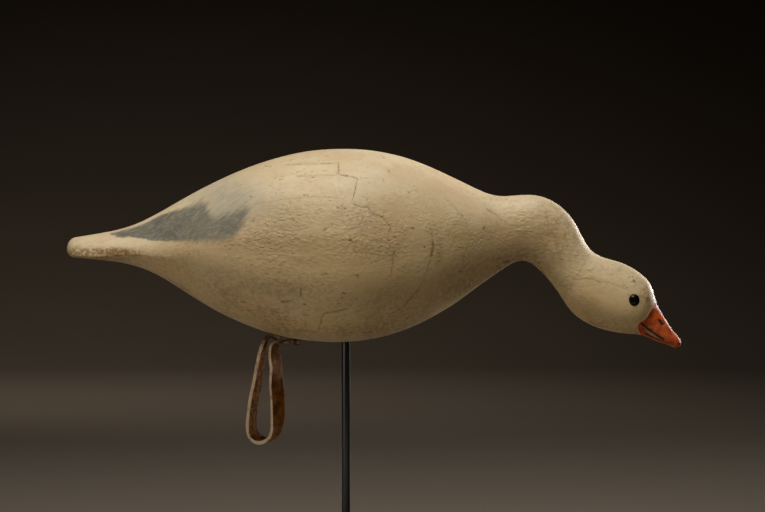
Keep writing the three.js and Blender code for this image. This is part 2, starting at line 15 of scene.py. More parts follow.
import bpy
import numpy as np
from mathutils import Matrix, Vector


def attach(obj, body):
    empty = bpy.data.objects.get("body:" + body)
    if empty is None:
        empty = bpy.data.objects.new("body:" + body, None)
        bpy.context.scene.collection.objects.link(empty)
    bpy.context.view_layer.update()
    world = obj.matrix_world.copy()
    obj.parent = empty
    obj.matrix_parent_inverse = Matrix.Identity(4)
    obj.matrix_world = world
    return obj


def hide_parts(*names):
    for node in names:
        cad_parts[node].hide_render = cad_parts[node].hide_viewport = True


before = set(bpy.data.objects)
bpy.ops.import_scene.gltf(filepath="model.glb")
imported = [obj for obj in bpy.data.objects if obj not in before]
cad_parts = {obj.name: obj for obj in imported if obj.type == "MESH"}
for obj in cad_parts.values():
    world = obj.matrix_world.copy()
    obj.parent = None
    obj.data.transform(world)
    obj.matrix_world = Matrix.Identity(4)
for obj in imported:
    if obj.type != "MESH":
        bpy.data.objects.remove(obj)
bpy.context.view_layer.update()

Array = np.ndarray
Triple = tuple[float, float, float]
Colour = Triple
Place = tuple[float, float]
Marks = dict[str, Array]

METRE = 1000.0
SHARES = 1000.0
GOOSE_LENGTH = 700.0
BASE_THICKNESS = 12.0
ROD_SHOWN = 230.0
BELLY_HEIGHT = BASE_THICKNESS + ROD_SHOWN
ROD_STATION = 454.4
BOARD = 25.4
BOARDS = 4
UNIT = GOOSE_LENGTH / SHARES
VIEW_FROM = 2500.0
VIEW_STATION = 41.67
VIEW_LEVEL = 339.73
TINY = 1e-9
SHARP_EDGE = math.radians(45)
CORNERS = ((1, 1), (-1, 1), (-1, -1), (1, -1))

log = logging.getLogger("goose_decoy")


class Side(Enum):
    """The goose's left and right side, with the sign of Y there."""

    LEFT = 1
    RIGHT = -1


class Slot(Enum):
    """Material slots of the record."""

    PAINTED_WOOD = "painted_wood"
    EYE_GLASS = "eye_glass"
    STRAP_LEATHER = "strap_leather"
    NAIL_IRON = "nail_iron"
    STAND_STEEL = "stand_steel"


@dataclass(frozen=True)
class Rib:
    """One rib of the goose, in shares.

    crown and keel are the curve's powers above and below the widest line (2 is an ellipse), and waist
    is the share of the way down at which the rib is widest.
    """

    top: Place
    bottom: Place
    half: float
    crown: float
    keel: float
    waist: float


BODY_RIBS = (
    Rib((0, 168), (0, 138.6), 53.6, 1.6, 2.2, 0.87),
    Rib((53.2, 176.8), (53.2, 133.7), 57.1, 1.55, 2, 0.88),
    Rib((102.1, 188.5), (102.1, 126.2), 66.4, 1.6, 1.75, 0.74),
    Rib((151, 211.2), (151, 107), 85.7, 1.7, 1.85, 0.68),
    Rib((200, 238.6), (200, 76.7), 110.7, 1.85, 2, 0.59),
    Rib((257.1, 267.5), (257.1, 43.5), 137.9, 2, 2.2, 0.53),
    Rib((395.7, 310.2), (395.7, 2.3), 171.7, 2.15, 2.75, 0.533),
    Rib((460.9, 313.8), (460.9, 0.5), 171.4, 2.05, 2.7, 0.535),
    Rib((526.2, 306.5), (526.2, 11.1), 148.3, 2, 2.45, 0.527),
    Rib((632.2, 266.2), (632.2, 62.8), 86.4, 1.8, 2.25, 0.462),
    Rib((673, 246.3), (673, 92.3), 59.3, 1.75, 2.15, 0.425),
)
NECK_RIBS = (
    Rib((705.6, 237.2), (705.6, 115.3), 42.6, 1.8, 2.1, 0.44),
    Rib((765.9, 238.1), (744.7, 132.1), 35.4, 1.9, 2, 0.47),
    Rib((819.8, 204.9), (777.4, 109), 35, 2, 2, 0.5),
    Rib((855.7, 147.8), (806.7, 71.8), 35.6, 2, 2, 0.52),
)
HEAD_RIBS = (
    Rib((875.2, 137.2), (819.8, 52.8), 38.3, 2, 2, 0.57),
    Rib((898.1, 130.6), (839.3, 35.6), 39.7, 2, 2, 0.59),
    Rib((940.5, 106.2), (894.8, 15.5), 38, 2, 2.1, 0.56),
    Rib((953.5, 87.9), (920.9, 12.6), 30.7, 2, 2.1, 0.52),
    Rib((960.7, 64), (937.2, 10.8), 19.4, 2, 2.2, 0.5),
    Rib((971.6, 42.4), (956.8, 2.6), 16, 1.9, 2.3, 0.52),
    Rib((986.6, 18.9), (978, -5.1), 13.7, 1.9, 2.4, 0.55),
    Rib((1003.3, 1), (996.7, -12.9), 12.6, 2, 2.3, 0.55),
)


def along(share: float | Array) -> float | Array:
    """X in millimetres of a share of the goose's length."""
    return (share - ROD_STATION) * UNIT


def above(share: float | Array) -> float | Array:
    """Z in millimetres of a share above the belly."""
    return BELLY_HEIGHT + share * UNIT


def side_view(places: Sequence[Place]) -> Array:
    """Rows of X and Z in millimetres for places given in shares."""
    rows = np.array(places, float)
    return np.stack([along(rows[:, 0]), above(rows[:, 1])], axis=1)


def seen(points: Array) -> tuple[Array, Array]:
    """X and Z of points as a view of the side draws them.

    The view is level, from VIEW_FROM away. What stands |y| nearer to it is drawn away from the view's
    middle by VIEW_FROM / (VIEW_FROM - |y|). Marks on the paint are given where that view shows them.

    Args:
        points: places in millimetres, with X, Y and Z on the last axis.

    Returns:
        X and Z in millimetres, one value a point.
    """
    drawn = VIEW_FROM / (VIEW_FROM - np.abs(points[..., 1]))
    x = VIEW_STATION + (points[..., 0] - VIEW_STATION) * drawn
    return x, VIEW_LEVEL + (points[..., 2] - VIEW_LEVEL) * drawn


def smooth_step(value: Array, low: float, high: float) -> Array:
    """3s^2 - 2s^3 of the share s that value has gone from low to high, held to 0 and 1 outside."""
    share = np.clip((value - low) / (high - low), 0, 1)
    return share * share * (3 - 2 * share)


def hump(distance: Array, reach: float) -> Array:
    """A bell of height 1: e to the power of minus the square of distance over reach."""
    return np.exp(-((distance / reach) ** 2))


def unit(ways: Array) -> Array:
    """Each way on the last axis divided by its length."""
    return ways / np.maximum(np.linalg.norm(ways, axis=-1, keepdims=True), TINY)


def lengths_along(points: Array) -> Array:
    """Distance travelled along a run of points, one value a point, from 0."""
    steps = np.linalg.norm(np.diff(points, axis=0), axis=1)
    return np.concatenate([[0.0], np.cumsum(steps)])


class NaturalSpline:
    """Natural cubic spline through rows of values at rising knots.

    With shares a and b of the two ends of a span, the value is a*y0 + b*y1 plus
    ((a^3 - a)*m0 + (b^3 - b)*m1) * span^2 / 6, where m0 and m1 are the second derivatives there.
    """

    def __init__(self, knots: Array, values: Array) -> None:
        """Solves for the second derivatives, which are 0 at both ends.

        Args:
            knots: rising parameters, one a row.
            values: rows of values at the knots.
        """
        self.knots = knots
        self.values = values
        span = np.diff(knots)
        slope = np.diff(values, axis=0) / span[:, None]
        inner = np.arange(1, len(knots) - 1)
        matrix = np.eye(len(knots))
        matrix[inner, inner - 1] = span[:-1]
        matrix[inner, inner] = 2 * (span[:-1] + span[1:])
        matrix[inner, inner + 1] = span[1:]
        right = np.zeros_like(values)
        right[1:-1] = 6 * np.diff(slope, axis=0)
        self.bends = np.linalg.solve(matrix, right)

    def at(self, t: Array) -> Array:
        """The spline's values.

        Args:
            t: parameters.

        Returns:
            Rows of values, with one more axis than t.
        """
        low = np.clip(np.searchsorted(self.knots, t) - 1, 0, len(self.knots) - 2)
        span = self.knots[low + 1] - self.knots[low]
        b = ((t - self.knots[low]) / span)[..., None]
        a = 1 - b
        straight = a * self.values[low] + b * self.values[low + 1]
        bend = (a**3 - a) * self.bends[low] + (b**3 - b) * self.bends[low + 1]
        return straight + bend * (span**2)[..., None] / 6


class SoftNoise:
    """Smooth random field between -1 and 1: a seeded lattice of values, blended by quintic weights."""

    LATTICE = 32

    def __init__(self, seed: int) -> None:
        """Fills the lattice from the seed."""
        size = (self.LATTICE,) * 3
        self.table = np.random.default_rng(seed).uniform(-1, 1, size)

    def at(self, points: Array, cell: Triple) -> Array:
        """The field's values.

        Args:
            points: places in millimetres, with X, Y and Z on the last axis.
            cell: spacing of the lattice along X, Y and Z in millimetres.

        Returns:
            One value a point: each corner's value times the product of w or 1 - w along the three
            axes, with w = 6s^5 - 15s^4 + 10s^3 of the share s of the way through the cell.
        """
        scaled = points / np.array(cell)
        low = np.floor(scaled).astype(int)
        share = scaled - low
        weight = share**3 * (share * (share * 6 - 15) + 10)
        total = np.zeros(points.shape[:-1])
        for corner in np.ndindex(2, 2, 2):
            part = np.prod(np.where(np.array(corner), weight, 1 - weight), axis=-1)
            index = (low + np.array(corner)) % self.LATTICE
            total += part * self.table[index[..., 0], index[..., 1], index[..., 2]]
        return total


@dataclass(frozen=True)
class Grain:
    """A layer of roughness: its height, the spacing of its noise and how far that is shifted."""

    height: float
    cell: Triple
    shift: float = 0.0

    def over(self, noise: SoftNoise, points: Array) -> Array:
        """The layer at each point: the shifted noise times the height."""
        return self.height * noise.at(points + self.shift, self.cell)


class SideLine:
    """A line drawn on the goose's side view, from which distances are measured."""

    def __init__(self, places: Sequence[Place], overrun: float = 0.0) -> None:
        """Lays the line's stretches.

        Args:
            places: the line's places in shares.
            overrun: how far in millimetres the line runs on past its ends.
        """
        points = side_view(places)
        points[[0, -1]] += overrun * unit(points[[0, -1]] - points[[1, -2]])
        self.starts = points[:-1]
        self.ways = np.diff(points, axis=0)
        self.lengths = np.linalg.norm(self.ways, axis=1)
        self.total = self.lengths.sum()

    def measure(self, x: Array, z: Array) -> tuple[Array, Array]:
        """Signed distance from the line and distance run along it.

        Each point is dropped square onto every stretch, held to the stretch's ends, and the nearest
        foot counts. The sign is that of the stretch's way crossed with the way to the point.

        Args:
            x, z: places in the side view, in millimetres.

        Returns:
            The signed distance, positive to the left of the line's way, and the distance run.
        """
        offset = np.stack([x, z], axis=-1)[..., None, :] - self.starts
        share = np.clip((offset * self.ways).sum(-1) / self.lengths**2, 0, 1)
        distance = np.linalg.norm(offset - share[..., None] * self.ways, axis=-1)
        nearest = distance.argmin(-1)[..., None]
        turn = self.ways[:, 0] * offset[..., 1] - self.ways[:, 1] * offset[..., 0]
        run = np.concatenate([[0.0], np.cumsum(self.lengths)[:-1]]) + share * self.lengths
        gap, turn, run = (np.take_along_axis(part, nearest, -1)[..., 0] for part in (distance, turn, run))
        return np.where(turn >= 0, gap, -gap), run


class SideShape:
    """A closed outline drawn on the goose's side view."""

    def __init__(self, places: Sequence[Place]) -> None:
        """Takes the outline's places in shares."""
        self.points = side_view(places)
        self.outline = SideLine([*places, places[0]])

    def depth(self, x: Array, z: Array) -> Array:
        """How far inside the outline places lie.

        A place is inside when a ray along +X from it crosses the outline an odd number of times.

        Args:
            x, z: places in the side view, in millimetres.

        Returns:
            Distance from the outline in millimetres, positive inside.
        """
        start = self.points
        end = np.roll(self.points, -1, axis=0)
        level = z[..., None]
        straddles = (start[:, 1] > level) != (end[:, 1] > level)
        rise = np.where(end[:, 1] == start[:, 1], TINY, end[:, 1] - start[:, 1])
        crossing = start[:, 0] + (level - start[:, 1]) / rise * (end[:, 0] - start[:, 0])
        odd = (straddles & (crossing > x[..., None])).sum(-1) % 2 == 1
        distance = np.abs(self.outline.measure(x, z)[0])
        return np.where(odd, distance, -distance)


class GooseLoft:
    """The goose's outer surface: one loft through its ribs from the tail to the bill."""

    TAIL_EDGE = 9.0
    TAIL_PLAN = 30.0
    BILL_EDGE = 7.0
    BILL_PLAN = 9.0
    HALVINGS = 40
    PROBE = 0.5
    BELLY_STEPS = 4000

    def __init__(self) -> None:
        """Runs a spline through every measure of the ribs, along their middles."""
        ribs = (*BODY_RIBS, *NECK_RIBS, *HEAD_RIBS)
        top = side_view([rib.top for rib in ribs])
        bottom = side_view([rib.bottom for rib in ribs])
        rest = np.array([[rib.half * UNIT, rib.crown, rib.keel, rib.waist] for rib in ribs])
        knots = lengths_along((top + bottom) / 2)
        self.spline = NaturalSpline(knots, np.concatenate([top, bottom, rest], axis=1))
        self.neck_root = knots[len(BODY_RIBS) - 1]
        self.head_joint = knots[len(BODY_RIBS) + len(NECK_RIBS) - 1]
        self.end = knots[-1]

    @staticmethod
    def rounded(distance: Array, rounding: float) -> Array:
        """Share of full size at a distance from a round tip: sqrt(1 - s^2), s the share left to go."""
        left = np.clip(1 - distance / rounding, 0, 1)
        return np.sqrt(1 - left * left)

    def ribs(self, t: Array) -> tuple[Array, ...]:
        """The ribs at distances along the goose, drawn in towards the round tail and bill.

        Args:
            t: distances along the goose.

        Returns:
            Middle, rise and fall as points and ways, then half width and the two powers.
        """
        top_x, top_z, bottom_x, bottom_z, half, crown, keel, waist = np.moveaxis(self.spline.at(t), -1, 0)
        flat = np.zeros_like(top_x)
        top = np.stack([top_x, flat, top_z], axis=-1)
        bottom = np.stack([bottom_x, flat, bottom_z], axis=-1)
        back = self.end - t
        height = self.rounded(t, self.TAIL_EDGE) * self.rounded(back, self.BILL_EDGE)
        width = self.rounded(t, self.TAIL_PLAN) * self.rounded(back, self.BILL_PLAN)
        centre = (top + bottom) / 2
        top = centre + (top - centre) * height[..., None]
        bottom = centre + (bottom - centre) * height[..., None]
        middle = top + (bottom - top) * waist[..., None]
        return middle, top - middle, bottom - middle, half * width, crown, keel

    def rings(self, t: Array, angle: Array) -> Array:
        """Points of the surface on a grid of distances and angles.

        A ring is |y/half|^p + |h/height|^p = 1 about the rib's middle, with the rib's rise and crown
        power above the widest line, and its fall and keel power below it. Angle 0 is the left side's
        widest line and a quarter turn is the top.

        Args:
            t: distances along the goose, one a ring.
            angle: angles round a ring.

        Returns:
            Points in millimetres, indexed by ring, then angle, then X, Y and Z.
        """
        middle, rise, fall, half, crown, keel = (part[:, None] for part in self.ribs(t))
        across = np.cos(angle)[None, :]
        up = np.sin(angle)[None, :]
        power = np.where(up >= 0, crown, keel)
        reach = (np.abs(across) ** power + np.abs(up) ** power) ** (-1 / power)
        points = middle + np.where((up >= 0)[..., None], rise, fall) * (np.abs(up) * reach)[..., None]
        points[..., 1] = across * reach * half
        return points

    def half_width(self, x: Array, z: Array) -> Array:
        """Half the goose's width, found on the rib through each place by halving the goose's length.

        Args:
            x, z: places of the side view, in millimetres.

        Returns:
            Half widths in millimetres, 0 outside the goose.
        """
        low = np.zeros_like(x)
        high = np.full_like(x, self.end)
        for _ in range(self.HALVINGS):
            t = (low + high) / 2
            top_x, top_z, bottom_x, bottom_z = np.moveaxis(self.spline.at(t)[..., :4], -1, 0)
            ahead = (x - bottom_x) * (top_z - bottom_z) - (z - bottom_z) * (top_x - bottom_x)
            low = np.where(ahead > 0, t, low)
            high = np.where(ahead > 0, high, t)
        middle, rise, fall, half, crown, keel = self.ribs((low + high) / 2)
        offset = np.stack([x, np.zeros_like(x), z], axis=-1) - middle
        upper = (offset * rise).sum(-1) > 0
        arm = np.where(upper[..., None], rise, fall)
        reach = np.linalg.norm(offset, axis=-1) / np.linalg.norm(arm, axis=-1)
        power = np.where(upper, crown, keel)
        return half * np.clip(1 - reach**power, 0, None) ** (1 / power)

    def on_side(self, place: Place, side: Side) -> tuple[Array, Array]:
        """A place on the goose's side and the outward way there.

        The way is minus the half width's slope along X, the side's sign, and minus the slope along Z.

        Args:
            place: the place in shares.
            side: the side of the goose.

        Returns:
            The point in millimetres, and the way, one long.
        """
        x, z = side_view([place])[0]
        step = self.PROBE
        offset = step * np.array([(0, 0), (1, 0), (-1, 0), (0, 1), (0, -1)])
        here, ahead, behind, over, under = self.half_width(x + offset[:, 0], z + offset[:, 1])
        way = np.array([behind - ahead, side.value * 2 * step, under - over])
        return np.array([x, side.value * here, z]), unit(way)

    def belly_at(self, x: Array) -> Array:
        """Height of the belly's middle line at distances along the goose."""
        t = np.linspace(0, self.head_joint, self.BELLY_STEPS)
        return np.interp(x, *self.spline.at(t)[:, 2:4].T)


def ring_normals(rings: Array) -> Array:
    """Outward unit normals of a grid of rings: the way round crossed with the way along."""
    around = np.roll(rings, -1, axis=1) - np.roll(rings, 1, axis=1)
    return unit(np.cross(around, np.gradient(rings, axis=0)))


def ring_index(rings: Array) -> tuple[Array, Array, Array]:
    """Numbers of the points of a grid of rings, and the quads between them.

    Args:
        rings: points, indexed by ring, then place round it.

    Returns:
        Each point's number, the number of the next point round, and rows of four numbers.
    """
    count, sides = rings.shape[:2]
    index = np.arange(count * sides).reshape(count, sides)
    beside = np.roll(index, -1, axis=1)
    quads = np.stack([index[:-1], beside[:-1], beside[1:], index[1:]], axis=-1)
    return index, beside, quads.reshape(-1, 4)


def placed(name: str, data: bpy.types.ID) -> bpy.types.Object:
    """Puts a mesh, light or camera into the scene.

    Args:
        name: the new object's name.
        data: what it shows.

    Returns:
        The object.
    """
    thing = bpy.data.objects.new(name, data)
    bpy.context.scene.collection.objects.link(thing)
    return thing


def closed_surface(
    name: str, rings: Array, start: Array, end: Array, marks: Marks | None = None
) -> bpy.types.Object:
    """A closed mesh object: rings joined by quads, with a fan to a point at each end.

    Args:
        name: the piece's name.
        rings: points in millimetres, indexed by ring, then place round it, then X, Y and Z.
        start: point that closes the first ring.
        end: point that closes the last ring.
        marks: values at every point of the rings, kept as attributes of the mesh.

    Returns:
        The object, smooth apart from its sharp edges, with its place in its mesh.
    """
    index, beside, quads = ring_index(rings)
    first = np.full(rings.shape[1], index.size)
    near_fan = np.stack([first, beside[0], index[0]], axis=-1)
    far_fan = np.stack([first + 1, index[-1], beside[-1]], axis=-1)
    corners = np.concatenate([rings.reshape(-1, 3), [start, end]]) / METRE
    mesh = bpy.data.meshes.new(name)
    mesh.from_pydata(corners.tolist(), [], quads.tolist() + near_fan.tolist() + far_fan.tolist())
    for mark, values in (marks or {}).items():
        ends = [values[0].mean(), values[-1].mean()]
        attribute = mesh.attributes.new(mark, "FLOAT", "POINT")
        attribute.data.foreach_set("value", np.concatenate([values.ravel(), ends]))
    mesh.shade_smooth()
    mesh.set_sharp_from_angle(angle=SHARP_EDGE)
    return placed(name, mesh)


def whole_turn(sides: int) -> Array:
    """Angles evenly spaced round a ring, from 0."""
    return np.linspace(0, 2 * np.pi, sides, endpoint=False)


def turned(profile: Array, sides: int) -> Array:
    """A solid of revolution about +Z.

    Args:
        profile: rows of radius and height, foot first.
        sides: number of places round it.

    Returns:
        Points indexed by ring, then place round it, then X, Y and Z: (r cos, r sin, height).
    """
    angle = whole_turn(sides)
    flat = np.stack([np.cos(angle), np.sin(angle), np.zeros(sides)], axis=-1)
    rings = profile[:, 0, None, None] * flat
    rings[..., 2] = profile[:, 1, None]
    return rings


def stood_on(points: Array, foot: Array, way: Array) -> Array:
    """Points made about +Z, turned so that +Z runs along way, and moved so that 0 is at foot."""
    aside = unit(np.cross([0.0, 1.0, 0.0] if abs(way[1]) < 0.9 else [1.0, 0.0, 0.0], way))
    return points @ np.stack([aside, np.cross(way, aside), way]) + foot


def finish_piece(piece: bpy.types.Object, slot: Slot, node: str, material: bpy.types.Material) -> None:
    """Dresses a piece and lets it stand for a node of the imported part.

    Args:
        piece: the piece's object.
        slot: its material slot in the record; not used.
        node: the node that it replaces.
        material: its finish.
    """
    piece.data.materials.append(material)
    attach(piece, "root")
    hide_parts(node)
    faces = sum(len(face.vertices) - 2 for face in piece.data.polygons)
    log.info("%s stands for %s with %d triangles", piece.name, node, faces)


def paint(*screen: int) -> Colour:
    """A colour as light.

    Args:
        *screen: its red, green and blue on a screen, from 0 to 255.

    Returns:
        Parts of light: of each share s of 255, s / 12.92 up to 0.04045 and ((s + 0.055) / 1.055)^2.4
        above it.
    """
    share = np.array(screen) / 255
    light = np.where(share <= 0.04045, share / 12.92, ((share + 0.055) / 1.055) ** 2.4)
    return tuple(light.tolist())


class Value:
    """What a node puts out, as a term of plain arithmetic with other values and numbers."""

    def __init__(self, board: "ShaderBoard", socket: bpy.types.NodeSocket) -> None:
        """Keeps the socket and the board that its node is on."""
        self.board = board
        self.socket = socket

    def __add__(self, other: "Value | float") -> "Value":
        """The sum."""
        return self.board.math("ADD", self, other)

    def __sub__(self, other: "Value | float") -> "Value":
        """The difference."""
        return self.board.math("SUBTRACT", self, other)

    def __rsub__(self, other: float) -> "Value":
        """A number less the value."""
        return self.board.math("SUBTRACT", other, self)

    def __mul__(self, other: "Value | float") -> "Value":
        """The product."""
        return self.board.math("MULTIPLY", self, other)

    def __truediv__(self, other: "Value | float") -> "Value":
        """The quotient."""
        return self.board.math("DIVIDE", self, other)

    def __abs__(self) -> "Value":
        """The value without its sign."""
        return self.board.math("ABSOLUTE", self)


Input = Value | float | Sequence[float]
Tint = Value | Colour


class ShaderBoard:
    """Writes one material's nodes. Each method adds nodes and returns what they put out."""

    CELL_TURN = (8, -11, 14)

    def __init__(self, name: str) -> None:
        """Starts a material with nothing but its object coordinates.

        Args:
            name: the material's name.
        """
        self.material = bpy.data.materials.new(name)
        self.material.use_nodes = True
        self.tree = self.material.node_tree
        self.tree.nodes.clear()
        self.place = Value(self, self.node("ShaderNodeTexCoord", {}).outputs["Object"])

    def node(self, kind: str, inputs: dict[int | str, Input], **settings: object) -> bpy.types.Node:
        """A new node.

        Args:
            kind: the node's type.
            inputs: what goes into its sockets, by name or number; a colour of three parts is made
                opaque.
            **settings: values of its own properties.

        Returns:
            The node.
        """
        node = self.tree.nodes.new(kind)
        for setting, value in settings.items():
            setattr(node, setting, value)
        for name, value in inputs.items():
            socket = node.inputs[name]
            if isinstance(value, Value):
                self.tree.links.new(value.socket, socket)
            elif socket.type == "RGBA":
                socket.default_value = (*value, 1.0)
            else:
                socket.default_value = value
        return node

    def math(self, operation: str, *values: Value | float) -> Value:
        """The result of one arithmetic operation."""
        node = self.node("ShaderNodeMath", dict(enumerate(values)), operation=operation)
        return Value(self, node.outputs[0])

    def larger(self, first: Value, second: Value) -> Value:
        """The larger of two values."""
        return self.math("MAXIMUM", first, second)

    def step(self, value: Value, low: float, high: float, top: float = 1.0) -> Value:
        """A smooth step.

        Args:
            value: what is stepped.
            low: value at which the step is 0; it may exceed high.
            high: value at which the step is at its top.
            top: height of the step.

        Returns:
            3s^2 - 2s^3 of the share s gone from low to high, times top.
        """
        run = (high, low, top, 0.0) if low > high else (low, high, 0.0, top)
        inputs = dict(enumerate((value, *run)))
        node = self.node("ShaderNodeMapRange", inputs, interpolation_type="SMOOTHSTEP")
        return Value(self, node.outputs[0])

    def spread(self, turn: Triple, stretch: Triple) -> Value:
        """Object coordinates turned, then multiplied axis by axis.

        Args:
            turn: angles in degrees about the axes.
            stretch: factor for each axis.

        Returns:
            The coordinates.
        """
        angles = [math.radians(angle) for angle in turn]
        mapping = self.node("ShaderNodeMapping", {"Vector": self.place, "Rotation": angles})
        inputs = {0: Value(self, mapping.outputs[0]), 1: stretch}
        return Value(self, self.node("ShaderNodeVectorMath", inputs, operation="MULTIPLY").outputs[0])

    def noise(
        self,
        grain: float,
        detail: float = 2.0,
        rough: float = 0.5,
        stretch: Triple = (1, 1, 1),
        turn: Triple = (0, 0, 0),
    ) -> Value:
        """Cloudy noise.

        Args:
            grain: size of a cloud in millimetres.
            detail: octaves of finer noise.
            rough: strength of each finer octave.
            stretch: how often the pattern repeats along each axis; under 1 draws it out.
            turn: angles in degrees by which the pattern is turned before it is drawn out.

        Returns:
            The noise, from 0 to 1.
        """
        place = self.spread(turn, stretch)
        inputs = {"Vector": place, "Scale": METRE / grain, "Detail": detail, "Roughness": rough}
        return Value(self, self.node("ShaderNodeTexNoise", inputs).outputs["Fac"])

    def cells(self, grain: float, feature: str = "DISTANCE_TO_EDGE", stretch: Triple = (1, 1, 1)) -> Value:
        """Distances in a pattern of cells.

        Args:
            grain: size of a cell in millimetres.
            feature: what the distance is measured to.
            stretch: how often the pattern repeats along each axis.

        Returns:
            The distance, from 0 to about 1.
        """
        inputs = {"Vector": self.spread(self.CELL_TURN, stretch), "Scale": METRE / grain}
        node = self.node("ShaderNodeTexVoronoi", inputs, feature=feature)
        return Value(self, node.outputs["Distance"])

    def mark(self, name: str) -> Value:
        """A value kept in the mesh as an attribute."""
        return Value(self, self.node("ShaderNodeAttribute", {}, attribute_name=name).outputs["Fac"])

    def layers(self, colour: Tint, *coats: tuple[Value, Tint]) -> Tint:
        """A colour with coats laid over it one after another.

        Args:
            colour: the ground.
            *coats: how much each coat covers, from 0 to 1, and its colour.

        Returns:
            The colour on top: (1 - share) of what is below plus share of the coat, coat by coat.
        """
        for share, tint in coats:
            inputs = {0: share, 6: colour, 7: tint}
            node = self.node("ShaderNodeMix", inputs, data_type="RGBA", clamp_factor=True)
            colour = Value(self, node.outputs[2])
        return colour

    def bump(self, height: Value, rise: float) -> Value:
        """A normal tilted by a height from 0 to 1 that stands for rise millimetres."""
        inputs = {"Strength": 1.0, "Distance": rise / METRE, "Height": height}
        return Value(self, self.node("ShaderNodeBump", inputs).outputs[0])

    def surface(self, **looks: Input) -> bpy.types.Material:
        """Ends the material with a shader.

        Args:
            **looks: the shader's inputs, their names with _ for each space.

        Returns:
            The material.
        """
        inputs = {name.replace("_", " "): value for name, value in looks.items()}
        shader = self.node("ShaderNodeBsdfPrincipled", inputs)
        self.node("ShaderNodeOutputMaterial", {0: Value(self, shader.outputs[0])})
        return self.material


@dataclass(frozen=True)
class Spot:
    """A soft patch of the side view: its middle and its reach in shares, and its depth."""

    centre: Place
    reach: Place
    depth: float = 1.0

    def at(self, points: Array) -> Array:
        """The depth times e to minus the squares of both offsets over their reaches.

        Args:
            points: places in millimetres, with X, Y and Z on the last axis.

        Returns:
            One value a point.
        """
        x, z = seen(points)
        x = (x - along(self.centre[0])) / (self.reach[0] * UNIT)
        z = (z - above(self.centre[1])) / (self.reach[1] * UNIT)
        return self.depth * np.exp(-(x * x) - z * z)


def deepest(points: Array, spots: Sequence[Spot]) -> Array:
    """The deepest of some spots at each point."""
    return np.max([spot.at(points) for spot in spots], axis=0)


@dataclass(frozen=True)
class Crack:
    """A crack, glue line or butt joint seen on one side of the goose, through places in shares."""

    side: Side
    places: tuple[Place, ...]
    ink: float


@dataclass(frozen=True)
class Speck:
    """A chip or scratch on the right side, from one place in shares to another, radius in mm."""

    start: Place
    end: Place
    radius: float
    ink: float


GLUE_WINDOWS = (
    (3, Spot((262, 76), (48, 48), 0.5)),
    (4, Spot((531, 128), (30, 30), 0.4)),
    (1, Spot((870, 99), (40, 40), 0.5)),
    (1, Spot((913, 87), (30, 30), 0.45)),
)

LONG_CRACK = (
    *((466.3, 224.8), (474.5, 221.5), (484.6, 218.7), (489.5, 219.4), (492.3, 216.6), (497.6, 211.9)),
    *((501.7, 207.1), (512, 204.4), (516.1, 201.1), (518, 197), (522.1, 194.3), (526.8, 187.4)),
    (528.3, 182),
)
RIGHT_CRACKS = (
    (0.65, (356, 288), (380, 289.5), (412, 290.5), (426, 290.8), (444, 291.3)),
    (0.45, (372, 270), (401, 271), (425, 271.5), (440, 271.5)),
    (0.75, (442.3, 290), (442.3, 281), (442.3, 272.4)),
    (0.8, (442.3, 272.4), (454.4, 270.8), (466.6, 269), (473.8, 266.1)),
    (0.8, (473.8, 266.1), (470, 250.5), (467, 240), (465, 231)),
    (0.8, *LONG_CRACK),
    (0.6, (491, 212), (499, 205), (509, 202)),
    (0.45, (286, 161), (298, 163), (321, 168), (347, 170), (376, 174)),
    (0.35, (350, 180), (372, 182), (396, 185)),
    (0.3, (403, 169.5), (435, 164), (460, 164)),
    (0.2, (305, 224), (350, 231), (400, 236), (440, 237)),
    (0.7, (479, 173), (487, 173), (492.8, 168)),
    (0.6, (592.4, 186), (595.5, 169)),
    (0.9, (595.5, 169), (596.8, 156), (595, 146), (592, 135)),
    (0.45, (592, 135), (588.2, 119.7), (582.5, 102), (572, 84)),
    (0.8, (572, 84), (557.2, 67.9), (549, 58.1), (539, 49.9)),
    (0.5, (608.5, 192), (608.8, 183)),
    (0.3, (617.2, 233), (635, 215), (648.5, 199.6), (655, 182)),
    (0.7, (682.8, 217), (699, 207), (711, 195)),
    (0.95, (461, 55), (443.3, 49.9), (431, 47.3), (419, 46.5)),
    (0.9, (419, 46.5), (415.4, 40.3), (413.8, 31.6), (411.2, 24.6), (410.4, 17)),
    (0.8, (375.5, 17.8), (392.4, 16.5), (410.4, 15.2)),
    (0.45, (388.5, 37), (389.2, 21)),
    (0.5, (533, 149), (531, 130), (528, 104)),
    (0.28, (852, 143), (844, 130), (838, 118), (831, 107)),
    (0.4, (820, 101), (836, 101), (853, 103), (868, 97), (882, 96), (898, 90), (916, 84)),
)
LEFT_CRACKS = (
    (0.8, (430, 290), (432, 279), (452, 277)),
    (0.8, (505, 236), (520, 219), (541, 209), (552, 190)),
    (0.7, (372, 58), (395, 49), (424, 46)),
    (0.6, (560, 150), (575, 128), (578, 104)),
)
CRACKS = tuple(
    Crack(side, tuple(places), ink)
    for side, rows in ((Side.RIGHT, RIGHT_CRACKS), (Side.LEFT, LEFT_CRACKS))
    for ink, *places in rows
)

